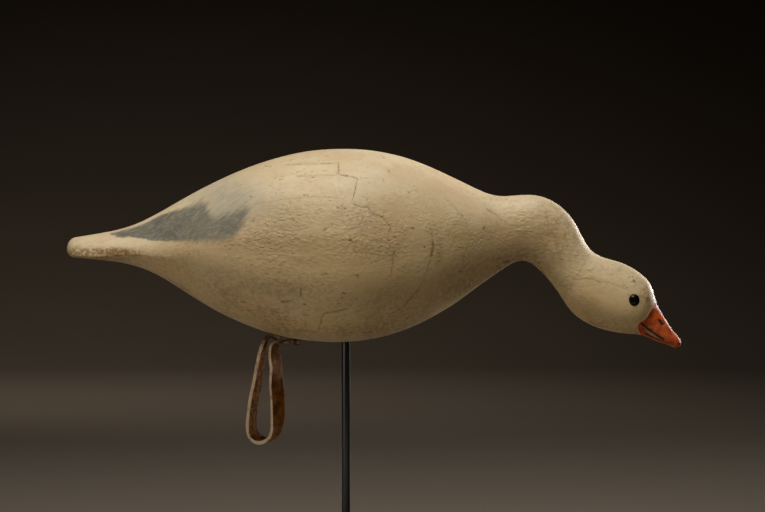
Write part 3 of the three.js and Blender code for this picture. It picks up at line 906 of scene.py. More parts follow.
SPECKS = (
    Speck((533.7, 171.1), (535.2, 170.8), 1.5, 1.0),
    Speck((561.3, 184.8), (563.7, 184.8), 1.2, 1.0),
    Speck((460.1, 165.1), (463.4, 165.1), 1.4, 1.0),
    Speck((418.5, 182), (422.6, 184.5), 1.2, 0.8),
    Speck((394.1, 171.8), (397.3, 171.4), 1.2, 0.6),
    Speck((524.1, 228.5), (524.4, 221.2), 0.9, 0.55),
    Speck((465, 149.7), (480, 151), 0.8, 0.7),
    Speck((465.8, 145.8), (478.9, 146.1), 0.6, 0.5),
    Speck((522.1, 164.4), (530.3, 167), 0.8, 0.6),
    Speck((380.7, 86.4), (380.4, 75.2), 1.0, 0.9),
    Speck((349.2, 65.2), (353.3, 65.2), 1.5, 0.9),
    Speck((357.4, 64.9), (362.3, 65.9), 1.2, 0.8),
    Speck((384.3, 60.7), (388, 60.7), 1.2, 0.8),
    Speck((384.3, 43.1), (398.2, 43.4), 0.8, 0.8),
    Speck((448.7, 78.3), (452.8, 78.9), 1.2, 0.9),
    Speck((457.7, 75.5), (459.3, 75.4), 0.8, 0.7),
    Speck((415.3, 109), (423.4, 110.9), 1.6, 0.5),
    Speck((382.7, 111.4), (389.2, 111.4), 1.1, 0.5),
    Speck((469.1, 109.9), (475.6, 108.1), 1.1, 0.7),
    Speck((283.2, 65.4), (289.7, 63.8), 1.2, 0.8),
    Speck((292.9, 52.4), (299.5, 49.9), 1.4, 0.6),
    Speck((297.8, 125.8), (303.5, 125.3), 1.2, 0.5),
    Speck((322.3, 110.8), (328, 110.8), 1.0, 0.6),
    Speck((341.9, 112.9), (348.4, 112.5), 1.0, 0.5),
    Speck((384.5, 238), (391.5, 238), 1.2, 1.0),
    Speck((413.3, 236.3), (446, 234), 0.6, 0.5),
    Speck((298, 238), (299, 237), 1.4, 0.6),
    Speck((361, 228.5), (365, 228.2), 1.0, 0.6),
    Speck((322.5, 285.8), (333, 285.6), 0.9, 0.5),
    Speck((344, 265), (352, 265), 0.8, 0.45),
    Speck((514, 267), (516, 263), 1.2, 0.5),
    Speck((523.5, 279), (525.5, 277), 1.5, 0.45),
    Speck((515, 300.5), (517, 300), 1.0, 0.4),
    Speck((479, 266.5), (481, 266.5), 1.1, 0.5),
    Speck((487.5, 266.4), (490, 266.4), 1.0, 0.4),
    Speck((555.5, 244), (559.5, 244.2), 0.8, 0.9),
    Speck((678.5, 185), (680, 187), 1.4, 0.8),
    Speck((713, 195), (714, 195), 0.9, 0.8),
    Speck((779, 211.5), (781, 210.5), 1.3, 0.7),
    Speck((792, 203), (794, 202), 1.1, 0.5),
    Speck((799.5, 193.5), (801, 192.5), 1.1, 0.5),
    Speck((828, 141), (829, 140.5), 0.9, 0.8),
    Speck((714, 165), (715, 164.5), 1.0, 0.6),
    Speck((581, 154.3), (583, 154.3), 1.3, 0.9),
    Speck((645, 141), (646, 139.5), 1.5, 0.9),
    Speck((596.5, 160), (594.5, 141), 1.9, 0.6),
    Speck((639, 115), (641, 114), 1.6, 0.6),
    Speck((666, 109.5), (668, 109), 1.2, 0.5),
    Speck((553, 37.5), (555, 36.5), 1.4, 0.8),
    Speck((533, 145), (534, 144), 1.1, 0.7),
    Speck((472, 106), (474, 105), 1.3, 0.6),
    Speck((924, 99.5), (926, 98), 1.5, 0.9),
    Speck((916, 106), (917, 105), 0.9, 0.6),
    Speck((946, 70), (947.5, 66), 1.1, 0.6),
    Speck((700, 232), (701, 231), 0.9, 0.4),
)

WING_PATCH = (
    *((69.5, 176.3), (85.8, 180.4), (102.1, 184.5), (118.4, 189.4), (134.7, 197.5)),
    *((151, 205.7), (167.4, 212), (183.7, 215.5), (200, 219), (213, 225)),
    *((219, 227.5), (225, 223), (226.1, 216), (229.3, 207), (233, 201)),
    *((243, 200), (258, 205), (272, 211), (284, 217), (292, 220)),
    *((291, 210), (285, 197), (279, 184), (270, 174), (256, 168.5)),
    *((244, 167), (230, 166), (216.3, 165.7), (200, 164.9), (183.7, 164.9)),
    *((167.4, 164.1), (151, 164.1), (134.7, 165.7), (126.6, 167.4), (115.2, 169)),
    *((102.1, 170.6), (85.8, 169.8), (76, 173.1)),
)
WING_FRONT = (150, 225)
WING_HAZE = (Spot((266, 232), (58, 34)), Spot((250, 212), (30, 15)))

BILL_BASE = (
    *((960.1, 65.4), (955.2, 57.3), (950.3, 49.9), (946.2, 42.6), (942.1, 36.9)),
    *((935.6, 33.1), (929.9, 27.9), (929.1, 21.4), (932.3, 15.7)),
)
MOUTH_UPPER = ((935.6, 31.2), (940.5, 27.1), (947, 20.6), (958.4, 12.4), (965, 7.8), (972.3, 3.4))
MOUTH_LOWER = ((943.8, 13.2), (951.9, 8.3), (960.1, 4.2), (969.9, 0))
GRIN = (
    *((938, 27.1), (947, 18.9), (958.4, 10.8), (968.2, 4.9), (968.2, 2)),
    *((960.1, 5.9), (951.9, 10.1), (943.8, 17.3)),
)
NOSTRIL = ((966.2, 34.4), (970.9, 28.1))
EYE_CENTRE = (920.7, 68.5)

LUMPY = (
    Spot((425, 168), (215, 72)),
    Spot((610, 160), (90, 70), 0.8),
    Spot((745, 178), (60, 50)),
    Spot((832, 134), (36, 64), 0.9),
)
RUBBED = Spot((846, 182), (24, 44), 0.85)
GRIMY = (
    Spot((690, 105), (70, 34), 0.55),
    Spot((735, 128), (30, 18), 0.45),
    Spot((26, 141), (34, 13), 0.8),
)
# Brown stains on the paint, and painted shade: some spots, on the neck and along the flank, darken the
# paint where the goose is shaded.
STAINS_AND_SHADE = (
    Spot((948, 76), (15, 22), 1.0),
    Spot((925, 98), (11, 7), 0.5),
    Spot((500, 150), (90, 16), 0.3),
    Spot((400, 130), (80, 14), 0.3),
    Spot((385, 160), (150, 15), 0.4),
    Spot((690, 150), (60, 26), 0.2),
    Spot((934, 92), (20, 13), 0.4),
    Spot((792, 182), (34, 26), 0.32),
    Spot((890, 95), (40, 16), 0.22),
    Spot((885, 118), (36, 14), 0.3),
    Spot((812, 92), (20, 12), 0.5),
    Spot((661, 112), (40, 26), 0.5),
    Spot((606, 145), (8, 24), 0.5),
    Spot((700, 190), (26, 18), 0.3),
    Spot((24, 144), (30, 11), 1.3),
    Spot((66, 145), (54, 7.5), 1.9),
    Spot((160, 138), (70, 12), 0.45),
    Spot((330, 205), (90, 24), 0.3),
    Spot((470, 205), (60, 40), 0.28),
    Spot((345, 86), (110, 30), 0.55),
    Spot((250, 100), (70, 26), 0.42),
    Spot((796, 174), (40, 58), 0.65),
    Spot((780, 205), (26, 22), 0.5),
    Spot((500, 180), (20, 60), 0.25),
    Spot((600, 165), (14, 50), 0.3),
)


@dataclass
class CarvedSurface:
    """What the goose's body and head share: tool marks, glue lines, cracks, dirt and painted shade.

    wave, ripple and groove are heights of the relief, and the layers say what waves and ripples are
    made of. groove_reach is half a groove's width, and crack_depth is a crack's depth in grooves.
    crack_fade is where a crack comes in from its end, and crack_side where it is lost aside of its
    line. glue_trace is how strongly any glue line shows, glue_flat how square to Y a flank is where
    none does, and least_slope the least slope counted. The cells are the sizes of the patches in
    which lumps, glue lines, and the dirt and painted shade come and go. under_turn and the side shade's
    turn are how far the normal points down, or up, where the underside's dirt and painted shade, and
    the painted shade of the sides, come on. The joint's sizes are the gap
    from the joint to the piece, the easing of the flat end's edge, and the step from there to the
    last even ring; cap_shares are the sizes of the rings that close the end, and neck_radius is the
    neck's there. far is the distance given where no crack or speck is near. The left side has one
    in left_every of the specks, moved by left_shift.
    """

    loft: GooseLoft
    seeds: tuple[int, ...] = (11, 12, 13)
    wave: float = 0.35
    wave_layers: tuple[Grain, ...] = (Grain(1, (62, 41, 37)), Grain(0.5, (27, 19, 17), 91))
    ripple: float = 0.16
    ripple_layers: tuple[Grain, ...] = (Grain(1, (6.4, 4.6, 3.8)), Grain(0.8, (4.4, 3.4, 2.6), 57))
    groove: float = 0.22
    groove_reach: float = 1.3
    crack_depth: float = 1.3
    crack_fade: Place = (-1.5, 2.5)
    crack_side: Place = (5.0, 2.5)
    glue_trace: float = 0.14
    glue_flat: Place = (0.985, 0.94)
    least_slope: float = 0.05
    lumpy_cell: Triple = (31, 23, 23)
    glue_cell: Triple = (47, 29, 29)
    grime_and_shade_cell: Triple = (37, 31, 25)
    # The underside is darker where the normal points down: dirt and painted shade.
    under_grime_and_shade: float = 0.75
    under_turn: Place = (-0.1, 0.95)
    side_shade_turn: Place = (0.8, -0.25)
    joint_gap: float = 0.05
    joint_bevel: float = 0.25
    joint_step: float = 0.4
    cap_shares: tuple[float, ...] = (0.9, 0.6, 0.25)
    neck_radius: float = 25.0
    far: float = 9.0
    left_every: int = 3
    left_shift: Place = (18.0, -7.0)

    def __post_init__(self) -> None:
        """Seeds the fields of the carving."""
        self.waves, self.ripples, self.patches = (SoftNoise(seed) for seed in self.seeds)

    def own_marks(self, points: Array) -> Marks:
        """Attributes that only this piece's paint reads."""
        raise NotImplementedError

    def own_relief(self, marks: Marks) -> Array | float:
        """Height above the loft of what only this piece has."""
        raise NotImplementedError

    def roughness(self, points: Array) -> Array:
        """How lumpy the paint is, from 0 to 1: the lumpy places in patches, less the rubbed nape."""
        patchy = 0.75 + 0.35 * self.patches.at(points, self.lumpy_cell)
        return np.clip(deepest(points, LUMPY) * patchy * (1 - RUBBED.at(points)), 0, 1)

    def tool_marks(self, points: Array) -> Array:
        """Height of the carving: slow waves, and ripples where the paint is lumpy.

        Args:
            points: places on the loft, in millimetres.

        Returns:
            Heights above the loft in millimetres: the sums of the layers times wave and ripple.
        """
        wave = sum(layer.over(self.waves, points) for layer in self.wave_layers)
        ripple = sum(layer.over(self.ripples, points) for layer in self.ripple_layers)
        return self.wave * wave + self.ripple * ripple * self.roughness(points)

    def glue_lines(self, points: Array, normals: Array) -> tuple[Array, Array]:
        """Where the glue lines between the upright boards run.

        They lie where |y| is a whole number of boards. The distance over the surface is that of y,
        divided by the slope sqrt(1 - ny^2).

        Args:
            points: places on the loft, in millimetres.
            normals: outward ways there.

        Returns:
            Distance to the nearest glue line, and how strongly it shows.
        """
        wide = np.abs(points[..., 1])
        board = np.clip(np.round(wide / BOARD), 1, BOARDS)
        slope = np.sqrt(np.clip(1 - normals[..., 1] ** 2, self.least_slope, 1))
        shown = self.glue_trace * smooth_step(self.patches.at(points, self.glue_cell), 0.0, 0.8)
        for number, window in GLUE_WINDOWS:
            shown = np.maximum(shown, window.at(points) * (board == number))
        steep = smooth_step(np.abs(normals[..., 1]), *self.glue_flat)
        return (wide - board * BOARD) / slope, shown * steep

    def cracks(self, points: Array) -> tuple[Array, Array]:
        """Where the cracks of each side run.

        Args:
            points: places on the loft, in millimetres.

        Returns:
            Distance to the nearest crack, and how strongly it shows: less at its ends.
        """
        nearest = np.full(points.shape[:-1], self.far)
        shown = np.zeros(points.shape[:-1])
        for crack in CRACKS:
            line = SideLine(crack.places)
            gap, run = line.measure(*seen(points))
            ends = smooth_step(run, *self.crack_fade) * smooth_step(line.total - run, *self.crack_fade)
            here = (points[..., 1] * crack.side.value > 0) & (np.abs(gap) < np.abs(nearest))
            nearest = np.where(here, gap, nearest)
            near = smooth_step(np.abs(gap), *self.crack_side)
            shown = np.where(here, crack.ink * ends * near, shown)
        return nearest, shown

    def specks(self, points: Array) -> tuple[Array, Array]:
        """Where the specks lie.

        A speck is a line of the side view grown by its radius. The left side has fewer of them, a
        little ahead and lower.

        Args:
            points: places on the loft, in millimetres.

        Returns:
            Distance to the rim of the nearest speck, negative inside, and how strongly it shows.
        """
        x, z = seen(points)
        nearest = np.full(points.shape[:-1], self.far)
        shown = np.zeros(points.shape[:-1])
        for number, speck in enumerate(SPECKS):
            for side in (Side.RIGHT,) if number % self.left_every else (Side.RIGHT, Side.LEFT):
                shift = self.left_shift if side is Side.LEFT else (0.0, 0.0)
                start, end = side_view([speck.start, speck.end]) + shift
                run = end - start
                share = np.clip(((x - start[0]) * run[0] + (z - start[1]) * run[1]) / (run @ run), 0, 1)
                gap = np.hypot(x - start[0] - share * run[0], z - start[1] - share * run[1]) - speck.radius
                here = (points[..., 1] * side.value > 0) & (gap < nearest)
                nearest = np.where(here, gap, nearest)
                shown = np.where(here, speck.ink, shown)
        return nearest, shown

    def grime_and_shade(self, points: Array, normals: Array) -> Array:
        """How dirty and shaded the paint is: dirt and painted shade underneath, and dirt in the grimy
        places.

        Args:
            points: places on the loft, in millimetres.
            normals: outward ways there.

        Returns:
            Shares from 0 to 1: the sum of both, times a patchy cloud.
        """
        # Dirt and painted shade: darker underneath, where the normal points down.
        under = self.under_grime_and_shade * smooth_step(-normals[..., 2], *self.under_turn)
        cloud = 0.8 + 0.5 * self.patches.at(points, self.grime_and_shade_cell)
        return np.clip((under + sum(spot.at(points) for spot in GRIMY)) * cloud, 0, 1)

    def common_marks(self, points: Array, normals: Array) -> Marks:
        """Attributes that both pieces' paint reads.

        Args:
            points: places on the loft, in millimetres.
            normals: outward ways there.

        Returns:
            The attributes' values by their names.
        """
        glue, glue_ink = self.glue_lines(points, normals)
        crack, crack_ink = self.cracks(points)
        speck, speck_ink = self.specks(points)
        return {
            "glue": glue,
            "glue_ink": glue_ink,
            "crack": crack,
            "crack_ink": crack_ink,
            "speck": speck,
            "speck_ink": speck_ink,
            "lumpy": self.roughness(points),
            # Dirt and painted shade, most underneath.
            "grime_and_shade": self.grime_and_shade(points, normals),
            # Painted shade: 1 where the surface faces sideways or down, 0 where it faces up.
            "side_shade": smooth_step(normals[..., 2], *self.side_shade_turn),
            # Stains, and painted shade in some spots on the neck and flank.
            "stain_and_shade": deepest(points, STAINS_AND_SHADE),
        }

    def flat_end(self, ring: Array, middle: Array) -> Array:
        """Rings that close a glued end: an eased edge, then smaller and smaller ones to the middle."""
        shares = np.array([1 - self.joint_bevel / self.neck_radius, *self.cap_shares])
        return middle + (ring - middle) * shares[:, None, None]

    def surface(self, name: str, t: Array, angle: Array, ends: Place, seam: int) -> bpy.types.Object:
        """The piece's mesh: the loft with its relief, its marks and the flat end at the joint.

        Args:
            name: the piece's name.
            t: distances along the goose, one a ring.
            angle: angles round a ring.
            ends: distances of the points that close the two ends.
            seam: the ring at the joint, 0 for the first and -1 for the last.

        Returns:
            The object.
        """
        rings = self.loft.rings(t, angle)
        normals = ring_normals(rings)
        marks = self.common_marks(rings, normals) | self.own_marks(rings)
        grooves = marks["glue_ink"] * hump(marks["glue"], self.groove_reach)
        grooves += self.crack_depth * marks["crack_ink"] * hump(marks["crack"], self.groove_reach)
        relief = self.tool_marks(rings) - self.groove * grooves + self.own_relief(marks)
        rings = rings + normals * relief[..., None]
        middles = self.loft.ribs(np.array(ends))[0]
        cap = self.flat_end(rings[seam], middles[seam])

        def capped(rows: Array, extra: Array) -> Array:
            """Rows with the flat end's rows before the first or after the last."""
            return np.concatenate([rows, extra] if seam else [extra[::-1], rows])

        marks = {mark: capped(v, np.repeat(v[[seam]], len(cap), 0)) for mark, v in marks.items()}
        return closed_surface(name, capped(rings, cap), *middles, marks)


def even_runs(start: float, *stretches: tuple[float, int]) -> Array:
    """Distances through some stretches.

    Args:
        start: first distance.
        *stretches: each stretch's end and its number of steps.

    Returns:
        The distances, evenly spaced within each stretch.
    """
    runs = [np.array([start])]
    for end, count in stretches:
        runs.append(np.linspace(runs[-1][-1], end, count + 1)[1:])
    return np.concatenate(runs)


def tip_steps(rounding: float, count: int) -> Array:
    """Distances from a round tip up to its rounding, closer together towards the tip."""
    return rounding * (1 - np.cos(np.arange(1, count + 1) * np.pi / (2 * count)))


@dataclass
class GooseBody(CarvedSurface):
    """The laminated body with its tail and neck."""

    sides: int = 360
    tail_rings: int = 22
    body_rings: int = 176
    neck_rings: int = 68
    crowding: float = 0.28

    def own_marks(self, points: Array) -> Marks:
        """What the grey wing patch is painted by.

        Args:
            points: places on the loft, in millimetres.

        Returns:
            The depth inside the patch, its change from rear to front, and its haze.
        """
        return {
            "wing": SideShape(WING_PATCH).depth(*seen(points)),
            "wing_front": smooth_step(seen(points)[0], *(along(share) for share in WING_FRONT)),
            "haze": deepest(points, WING_HAZE),
        }

    def own_relief(self, marks: Marks) -> float:
        """Nothing: the wing patch is painted on."""
        return 0.0

    def dress(self) -> None:
        """Builds the body and dresses it.

        Angles are crowded towards the sides: angle = s - c*sin(2s)/2 for s round the ring.
        """
        loft = self.loft
        joint = loft.head_joint - self.joint_gap
        turn = whole_turn(self.sides)
        angle = turn - self.crowding * np.sin(2 * turn) / 2
        stretches = (loft.neck_root, self.body_rings), (joint - self.joint_step, self.neck_rings)
        tail = tip_steps(loft.TAIL_PLAN, self.tail_rings)[:-1]
        t = np.concatenate([tail, even_runs(loft.TAIL_PLAN, *stretches), [joint]])
        piece = self.surface("painted_body", t, angle, (0.0, joint), -1)
        finish_piece(piece, Slot.PAINTED_WOOD, "goose_body", BodyPaint().material())


@dataclass
class GooseHead(CarvedSurface):
    """The separate head with its bill, eye sockets, nostrils and mouth."""

    sides: int = 340
    rings: int = 250
    bill_rings: int = 24
    bill_overrun: float = 25.0
    bill_step: float = 0.35
    bill_step_at: float = 0.8
    bill_step_reach: float = 1.1
    socket_radius: float = 6.5
    socket_edge: Place = (0.3, -0.6)
    socket_depth: float = 1.5
    mouth_depth: float = 0.8
    mouth_reach: float = 0.85
    nostril_depth: float = 1.5
    nostril_reach: float = 1.7

    def socket(self, points: Array) -> Array:
        """Share of the eye sockets' depth.

        Args:
            points: places on the loft, in millimetres.

        Returns:
            0 outside the sockets' rims and 1 inside, by the distance from each eye's axis.
        """
        depth = np.zeros(points.shape[:-1])
        rim = self.socket_radius
        edge = [rim + part for part in self.socket_edge]
        for side in Side:
            centre, way = self.loft.on_side(EYE_CENTRE, side)
            lift = ((points - centre) * way).sum(-1)
            radius = np.linalg.norm(points - centre - lift[..., None] * way, axis=-1)
            depth = np.maximum(depth, (np.abs(lift) < rim) * smooth_step(radius, *edge))
        return depth

    def own_marks(self, points: Array) -> Marks:
        """What the bill, nostrils and sockets are carved and painted by.

        Args:
            points: places on the loft, in millimetres.

        Returns:
            Distances from the bill's base and mouth, depth inside the grin, and shares of depth.
        """
        view = seen(points)
        return {
            "bill": SideLine(BILL_BASE, self.bill_overrun).measure(*view)[0],
            "mouth_upper": SideLine(MOUTH_UPPER).measure(*view)[0],
            "mouth_lower": SideLine(MOUTH_LOWER).measure(*view)[0],
            "grin": SideShape(GRIN).depth(*view),
            "nostril": hump(SideLine(NOSTRIL).measure(*view)[0], self.nostril_reach),
            "socket": self.socket(points),
        }

    def own_relief(self, marks: Marks) -> Array:
        """Grooves of the mouth, holes of nostrils and sockets, and the step at the bill's base.

        Args:
            marks: the attributes of the head.

        Returns:
            Heights above the loft in millimetres; grooves and the step are bells of the distance.
        """
        upper, lower = (hump(marks[line], self.mouth_reach) for line in ("mouth_upper", "mouth_lower"))
        relief = -self.mouth_depth * np.maximum(upper, lower)
        relief -= self.nostril_depth * marks["nostril"] + self.socket_depth * marks["socket"]
        return relief + self.bill_step * hump(marks["bill"] - self.bill_step_at, self.bill_step_reach)

    def dress(self) -> None:
        """Builds the head from the joint to the bill's tip and dresses it."""
        loft = self.loft
        joint = loft.head_joint + self.joint_gap
        even = even_runs(joint + self.joint_step, (loft.end - loft.BILL_PLAN, self.rings))
        tip = loft.end - tip_steps(loft.BILL_PLAN, self.bill_rings)[-2::-1]
        t = np.concatenate([[joint], even, tip])
        piece = self.surface("painted_head", t, whole_turn(self.sides), (joint, loft.end), 0)
        finish_piece(piece, Slot.PAINTED_WOOD, "goose_head", HeadPaint().material())


@dataclass(frozen=True)
class IvoryPaint:
    """Aged ivory paint over wood."""

    light: Colour = paint(226, 211, 180)
    warm: Colour = paint(205, 183, 142)
    # Yellowed paint, also used for the painted shade of the sides and underside.
    yellowed_and_shade: Colour = paint(198, 170, 118)
    # Brown of stains and dirt, also used for painted shade.
    stain_and_shade: Colour = paint(130, 105, 66)
    rust: Colour = paint(136, 92, 52)
    rosy: Colour = paint(210, 174, 138)
    olive: Colour = paint(176, 158, 104)
    fleck: Colour = paint(118, 84, 46)
    ink: Colour = paint(108, 76, 36)

    def ground(self, board: ShaderBoard) -> tuple[Value, Value]:
        """Colour and height of the paint before anything is painted on it.

        Clouds and lengthwise streaks mix the light and the warm tone; painted shade turns it warmer,
        yellower and olive where the surface faces sideways or down; dirt and painted shade turn it brown;
        and a net of fine cracks and the glue lines and cracks of the wood show dark.

        Args:
            board: the material that the nodes are written to.

        Returns:
            The colour, and a height from about 0 to 1.
        """
        noise, step = board.noise, board.step
        # Painted shade: this mask makes the paint warmer, yellower and olive where the surface faces
        # sideways or down, away from the light above.
        side_shade = board.mark("side_shade")
        # Dirt and painted shade: darker underneath and in the listed spots.
        grime_and_shade = board.larger(board.mark("grime_and_shade"), board.mark("stain_and_shade"))
        # Painted shade: warm clouds and yellow blotches grow stronger on the sides and underside.
        shade_weight = side_shade * 0.5 + 0.5
        clouds = step(noise(70, 4, 0.62), 0.32, 0.68)
        streaks = step(noise(8, 3, 0.6, (0.14, 1, 1)), 0.42, 0.75)
        blotches = step(noise(15, 4, 0.65), 0.46, 0.68)
        rosy = step(noise(58, 2, 0.5, turn=(0, 30, 0)), 0.52, 0.7, 0.3)
        olive = step(noise(44, 3, 0.6, turn=(20, 0, 40)), 0.54, 0.72, 0.45)
        speckled = step(noise(3.6, 3, 0.65, (0.7, 1, 1)), 0.42, 0.6)
        rusty = step(noise(19, 3, 0.6), 0.54, 0.68)
        clustered = step(noise(26, 2, 0.5, (0.6, 1, 1)), 0.38, 0.62, 0.75) + 0.25
        lumpy = board.mark("lumpy") * clustered
        waves = noise(2.5, 2, 0.6, (0.5, 1, 1.15), (0, 8, 0))
        cells = step(board.cells(4.2, "F1", (0.62, 1, 1.2)), 0.75, 0.1)
        flecks, dents = self.flecks(board, lumpy)
        lines, halo = self.lines(board)
        colour = board.layers(
            self.light,
            (clouds * shade_weight, self.warm),
            (streaks * 0.35, self.warm),
            (blotches * shade_weight * 0.4, self.yellowed_and_shade),
            # Painted shade: yellower where the surface faces sideways or down.
            (side_shade * (noise(48, 3) * 0.6 + 0.5), self.yellowed_and_shade),
            (rosy, self.rosy),
            # Olive patches, kept to where the painted shade of the sides lies.
            (olive * side_shade, self.olive),
            # Dirt and painted shade: speckled brown.
            (grime_and_shade * (speckled * 0.62 + 0.34), self.stain_and_shade),
            (grime_and_shade * rusty * 0.35, self.rust),
            # Darker brown in the low places of the ripples, more where the paint is lumpy.
            (step(waves, 0.48, 0.3, 0.6) * (lumpy + 0.08), self.stain_and_shade),
            (flecks, self.fleck),
            (halo * 0.3, self.fleck),
            (lines * 0.84, self.ink),
        )
        ripple = waves * 0.7 + cells * 0.3
        height = ripple * (lumpy * 0.95 + 0.05) + 0.5
        return colour, height - dents * 0.25 - lines * 0.15

    def flecks(self, board: ShaderBoard, lumpy: Value) -> tuple[Value, Value]:
        """Small brown flecks, scratches along the goose and pits.

        Each is a noise above a threshold, kept to patches by a coarser noise.

        Args:
            board: the material that the nodes are written to.
            lumpy: how lumpy the paint is, from 0 to 1.

        Returns:
            How strongly the flecks show, and how deep their dents are.
        """
        patches = board.step(board.noise(33, 2), 0.48, 0.62)
        chips = board.step(board.noise(2.3, 2, 0.6, (0.5, 1, 1)), 0.64, 0.72) * (patches * 0.75 + 0.2)
        scratches = board.step(board.noise(1.7, 2, 0.5, (0.16, 1, 1), (0, 6, 0)), 0.63, 0.7)
        pits = board.step(board.noise(2.0, 1, 0.5), 0.70, 0.78) * lumpy * 0.6
        dents = board.larger(chips, pits)
        return board.larger(dents, scratches * patches * 0.55) * 0.75, dents

    def lines(self, board: ShaderBoard) -> tuple[Value, Value]:
        """Glue lines and cracks, broken up by noise.

        Args:
            board: the material that the nodes are written to.

        Returns:
            How strongly their ragged dark cores show, and their stained halos.
        """
        worn = board.step(board.noise(6, 2, 0.6), 0.32, 0.5)
        faded = board.step(board.noise(24, 2), 0.35, 0.62, 0.5) + 0.5
        ragged = (board.noise(4.2, 3, 0.62) - 0.5) * 3.0
        cores, halos = [], []
        for name, core in (("glue", 0.62), ("crack", 0.72)):
            across = abs(board.mark(name) + ragged)
            ink = board.mark(f"{name}_ink") * faded
            cores.append(board.step(across, core, 0.1) * worn * ink)
            halos.append(board.step(across, 2.3, 0.3) * ink)
        return board.larger(*cores), board.larger(*halos)

    def specks(self, board: ShaderBoard, colour: Value) -> Value:
        """Small dark chips and scratches at known places, their edges broken by noise.

        Args:
            board: the material that the nodes are written to.
            colour: the paint below them.

        Returns:
            The colour with the specks on it.
        """
        ragged = (board.noise(2.4, 3, 0.6, (0.6, 1, 1)) - 0.5) * 3.0
        chip = board.step(board.mark("speck") + ragged, 0.45, -0.7)
        return board.layers(colour, (chip * board.mark("speck_ink") * 0.8, self.fleck))


@dataclass(frozen=True)
class WingPaint:
    """The grey-blue wing tips, brushed thinly over the ivory."""

    grey: Colour = paint(118, 113, 100)
    blue: Colour = paint(92, 97, 92)
    pale: Colour = paint(150, 146, 130)
    haze: Colour = paint(170, 167, 150)

    def over(self, board: ShaderBoard, colour: Value) -> Value:
        """The wing patch brushed over the paint.

        The patch shows where its depth plus brush strokes is above 0. The strokes run along the goose
        at its rear, and up and forward at its front, where they are longer and let the ivory through.

        Args:
            board: the material that the nodes are written to.
            colour: the paint below it.

        Returns:
            The colour with the patch on it.
        """
        step = board.step
        slanted = board.noise(3.4, 3, 0.6, (0.11, 1, 1), (0, 46, 0)) - 0.5
        level = board.noise(2.6, 3, 0.6, (0.12, 1, 1), (0, 12, 0)) - 0.5
        front = board.mark("wing_front")
        ragged = slanted * front * 15 + level * (1.0 - front) * 7
        edge = (board.mark("wing") + ragged + front * 1.6) / (front * 4.6 + 1.1)
        tone = board.layers(
            self.grey,
            (step(board.noise(17, 4, 0.6), 0.35, 0.65), self.blue),
            (step(level, -0.02, 0.14, 0.6), self.pale),
            (front * 0.3, self.pale),
        )
        gaps = step(slanted, 0.1, 0.22) * (front + 0.1)
        chips = step(board.noise(3.4, 3, 0.65, (0.3, 1, 1), (0, 12, 0)), 0.58, 0.7)
        cover = 0.95 - board.larger(gaps * 0.3, chips * 0.2)
        streaked = step(slanted, -0.16, 0.14, 0.5) + 0.5
        hazy = board.mark("haze") * streaked
        return board.layers(colour, (hazy, self.haze), (step(edge, -1.0, 1.0) * cover, tone))


@dataclass(frozen=True)
class BodyPaint:
    """Finish of the body: ivory paint with wing patches and worn specks."""

    ivory: IvoryPaint = IvoryPaint()
    wing: WingPaint = WingPaint()

    def material(self) -> bpy.types.Material:
        """The ivory, the wing patch over it and the specks over both.

        Returns:
            The body's material.
        """
        board = ShaderBoard("aged_ivory_body_paint")
        colour, height = self.ivory.ground(board)
        colour = self.ivory.specks(board, self.wing.over(board, colour))
        return board.surface(
            Base_Color=colour,
            Roughness=board.step(board.noise(6, 3), 0.2, 0.8, 0.18) + 0.48,
            Specular_IOR_Level=0.4,
            Normal=board.bump(height, 1.7),
        )


@dataclass(frozen=True)
class BillPaint:
    """Orange-red paint of the bill, with its dark mouth lines and worn grin patch."""

    orange: Colour = paint(196, 91, 18)
    red: Colour = paint(146, 50, 8)
    brown: Colour = paint(92, 36, 10)
    # Painted highlight: the pale rim along the bill's base.
    rim: Colour = paint(214, 152, 110)
    dark: Colour = paint(44, 22, 12)
    grin: Colour = paint(150, 128, 88)

    def over(self, board: ShaderBoard, colour: Value) -> Value:
        """The bill painted over the ivory.

        Args:
            board: the material that the nodes are written to.
            colour: the paint below it.

        Returns:
            The colour with the bill on it: a pale rim at its base, which is a painted highlight, then
            shades of orange, smears along the mouth, the mouth lines with the worn patch between them, and
            the nostrils.
        """
        noise, step, mark = board.noise, board.step, board.mark
        depth = mark("bill") + (noise(4, 2) - 0.5) * 1.4
        shades = board.layers(self.red, (step(noise(7, 4, 0.6), 0.32, 0.68), self.orange))
        smears = step(noise(5, 3, 0.6, (0.6, 1, 1)), 0.44, 0.6, 0.85)
        near_mouth = step(abs(mark("mouth_upper")), 5.5, 1.0)
        worn = mark("grin") + (noise(3, 2) - 0.5) * 1.6
        smeared = (noise(3.2, 3, 0.6) - 0.5) * 2.6
        inner = step(mark("bill"), 0.5, 2.5)
        upper = step(abs(mark("mouth_upper") + smeared), 1.8, 0.5, 0.92) * inner
        lower = step(abs(mark("mouth_lower") + smeared), 1.2, 0.5, 0.92) * inner
        return board.layers(
            colour,
            # Painted highlight along the bill's base.
            (step(depth, -0.9, 0.1), self.rim),
            (step(depth, 0.0, 0.9), shades),
            (smears * near_mouth * step(depth, 0.5, 2.0), self.brown),
            (step(worn, -0.3, 0.5, 0.85), self.grin),
            (upper, self.dark),
            (lower, self.dark),
            (step(mark("nostril"), 0.2, 0.6), self.dark),
        )


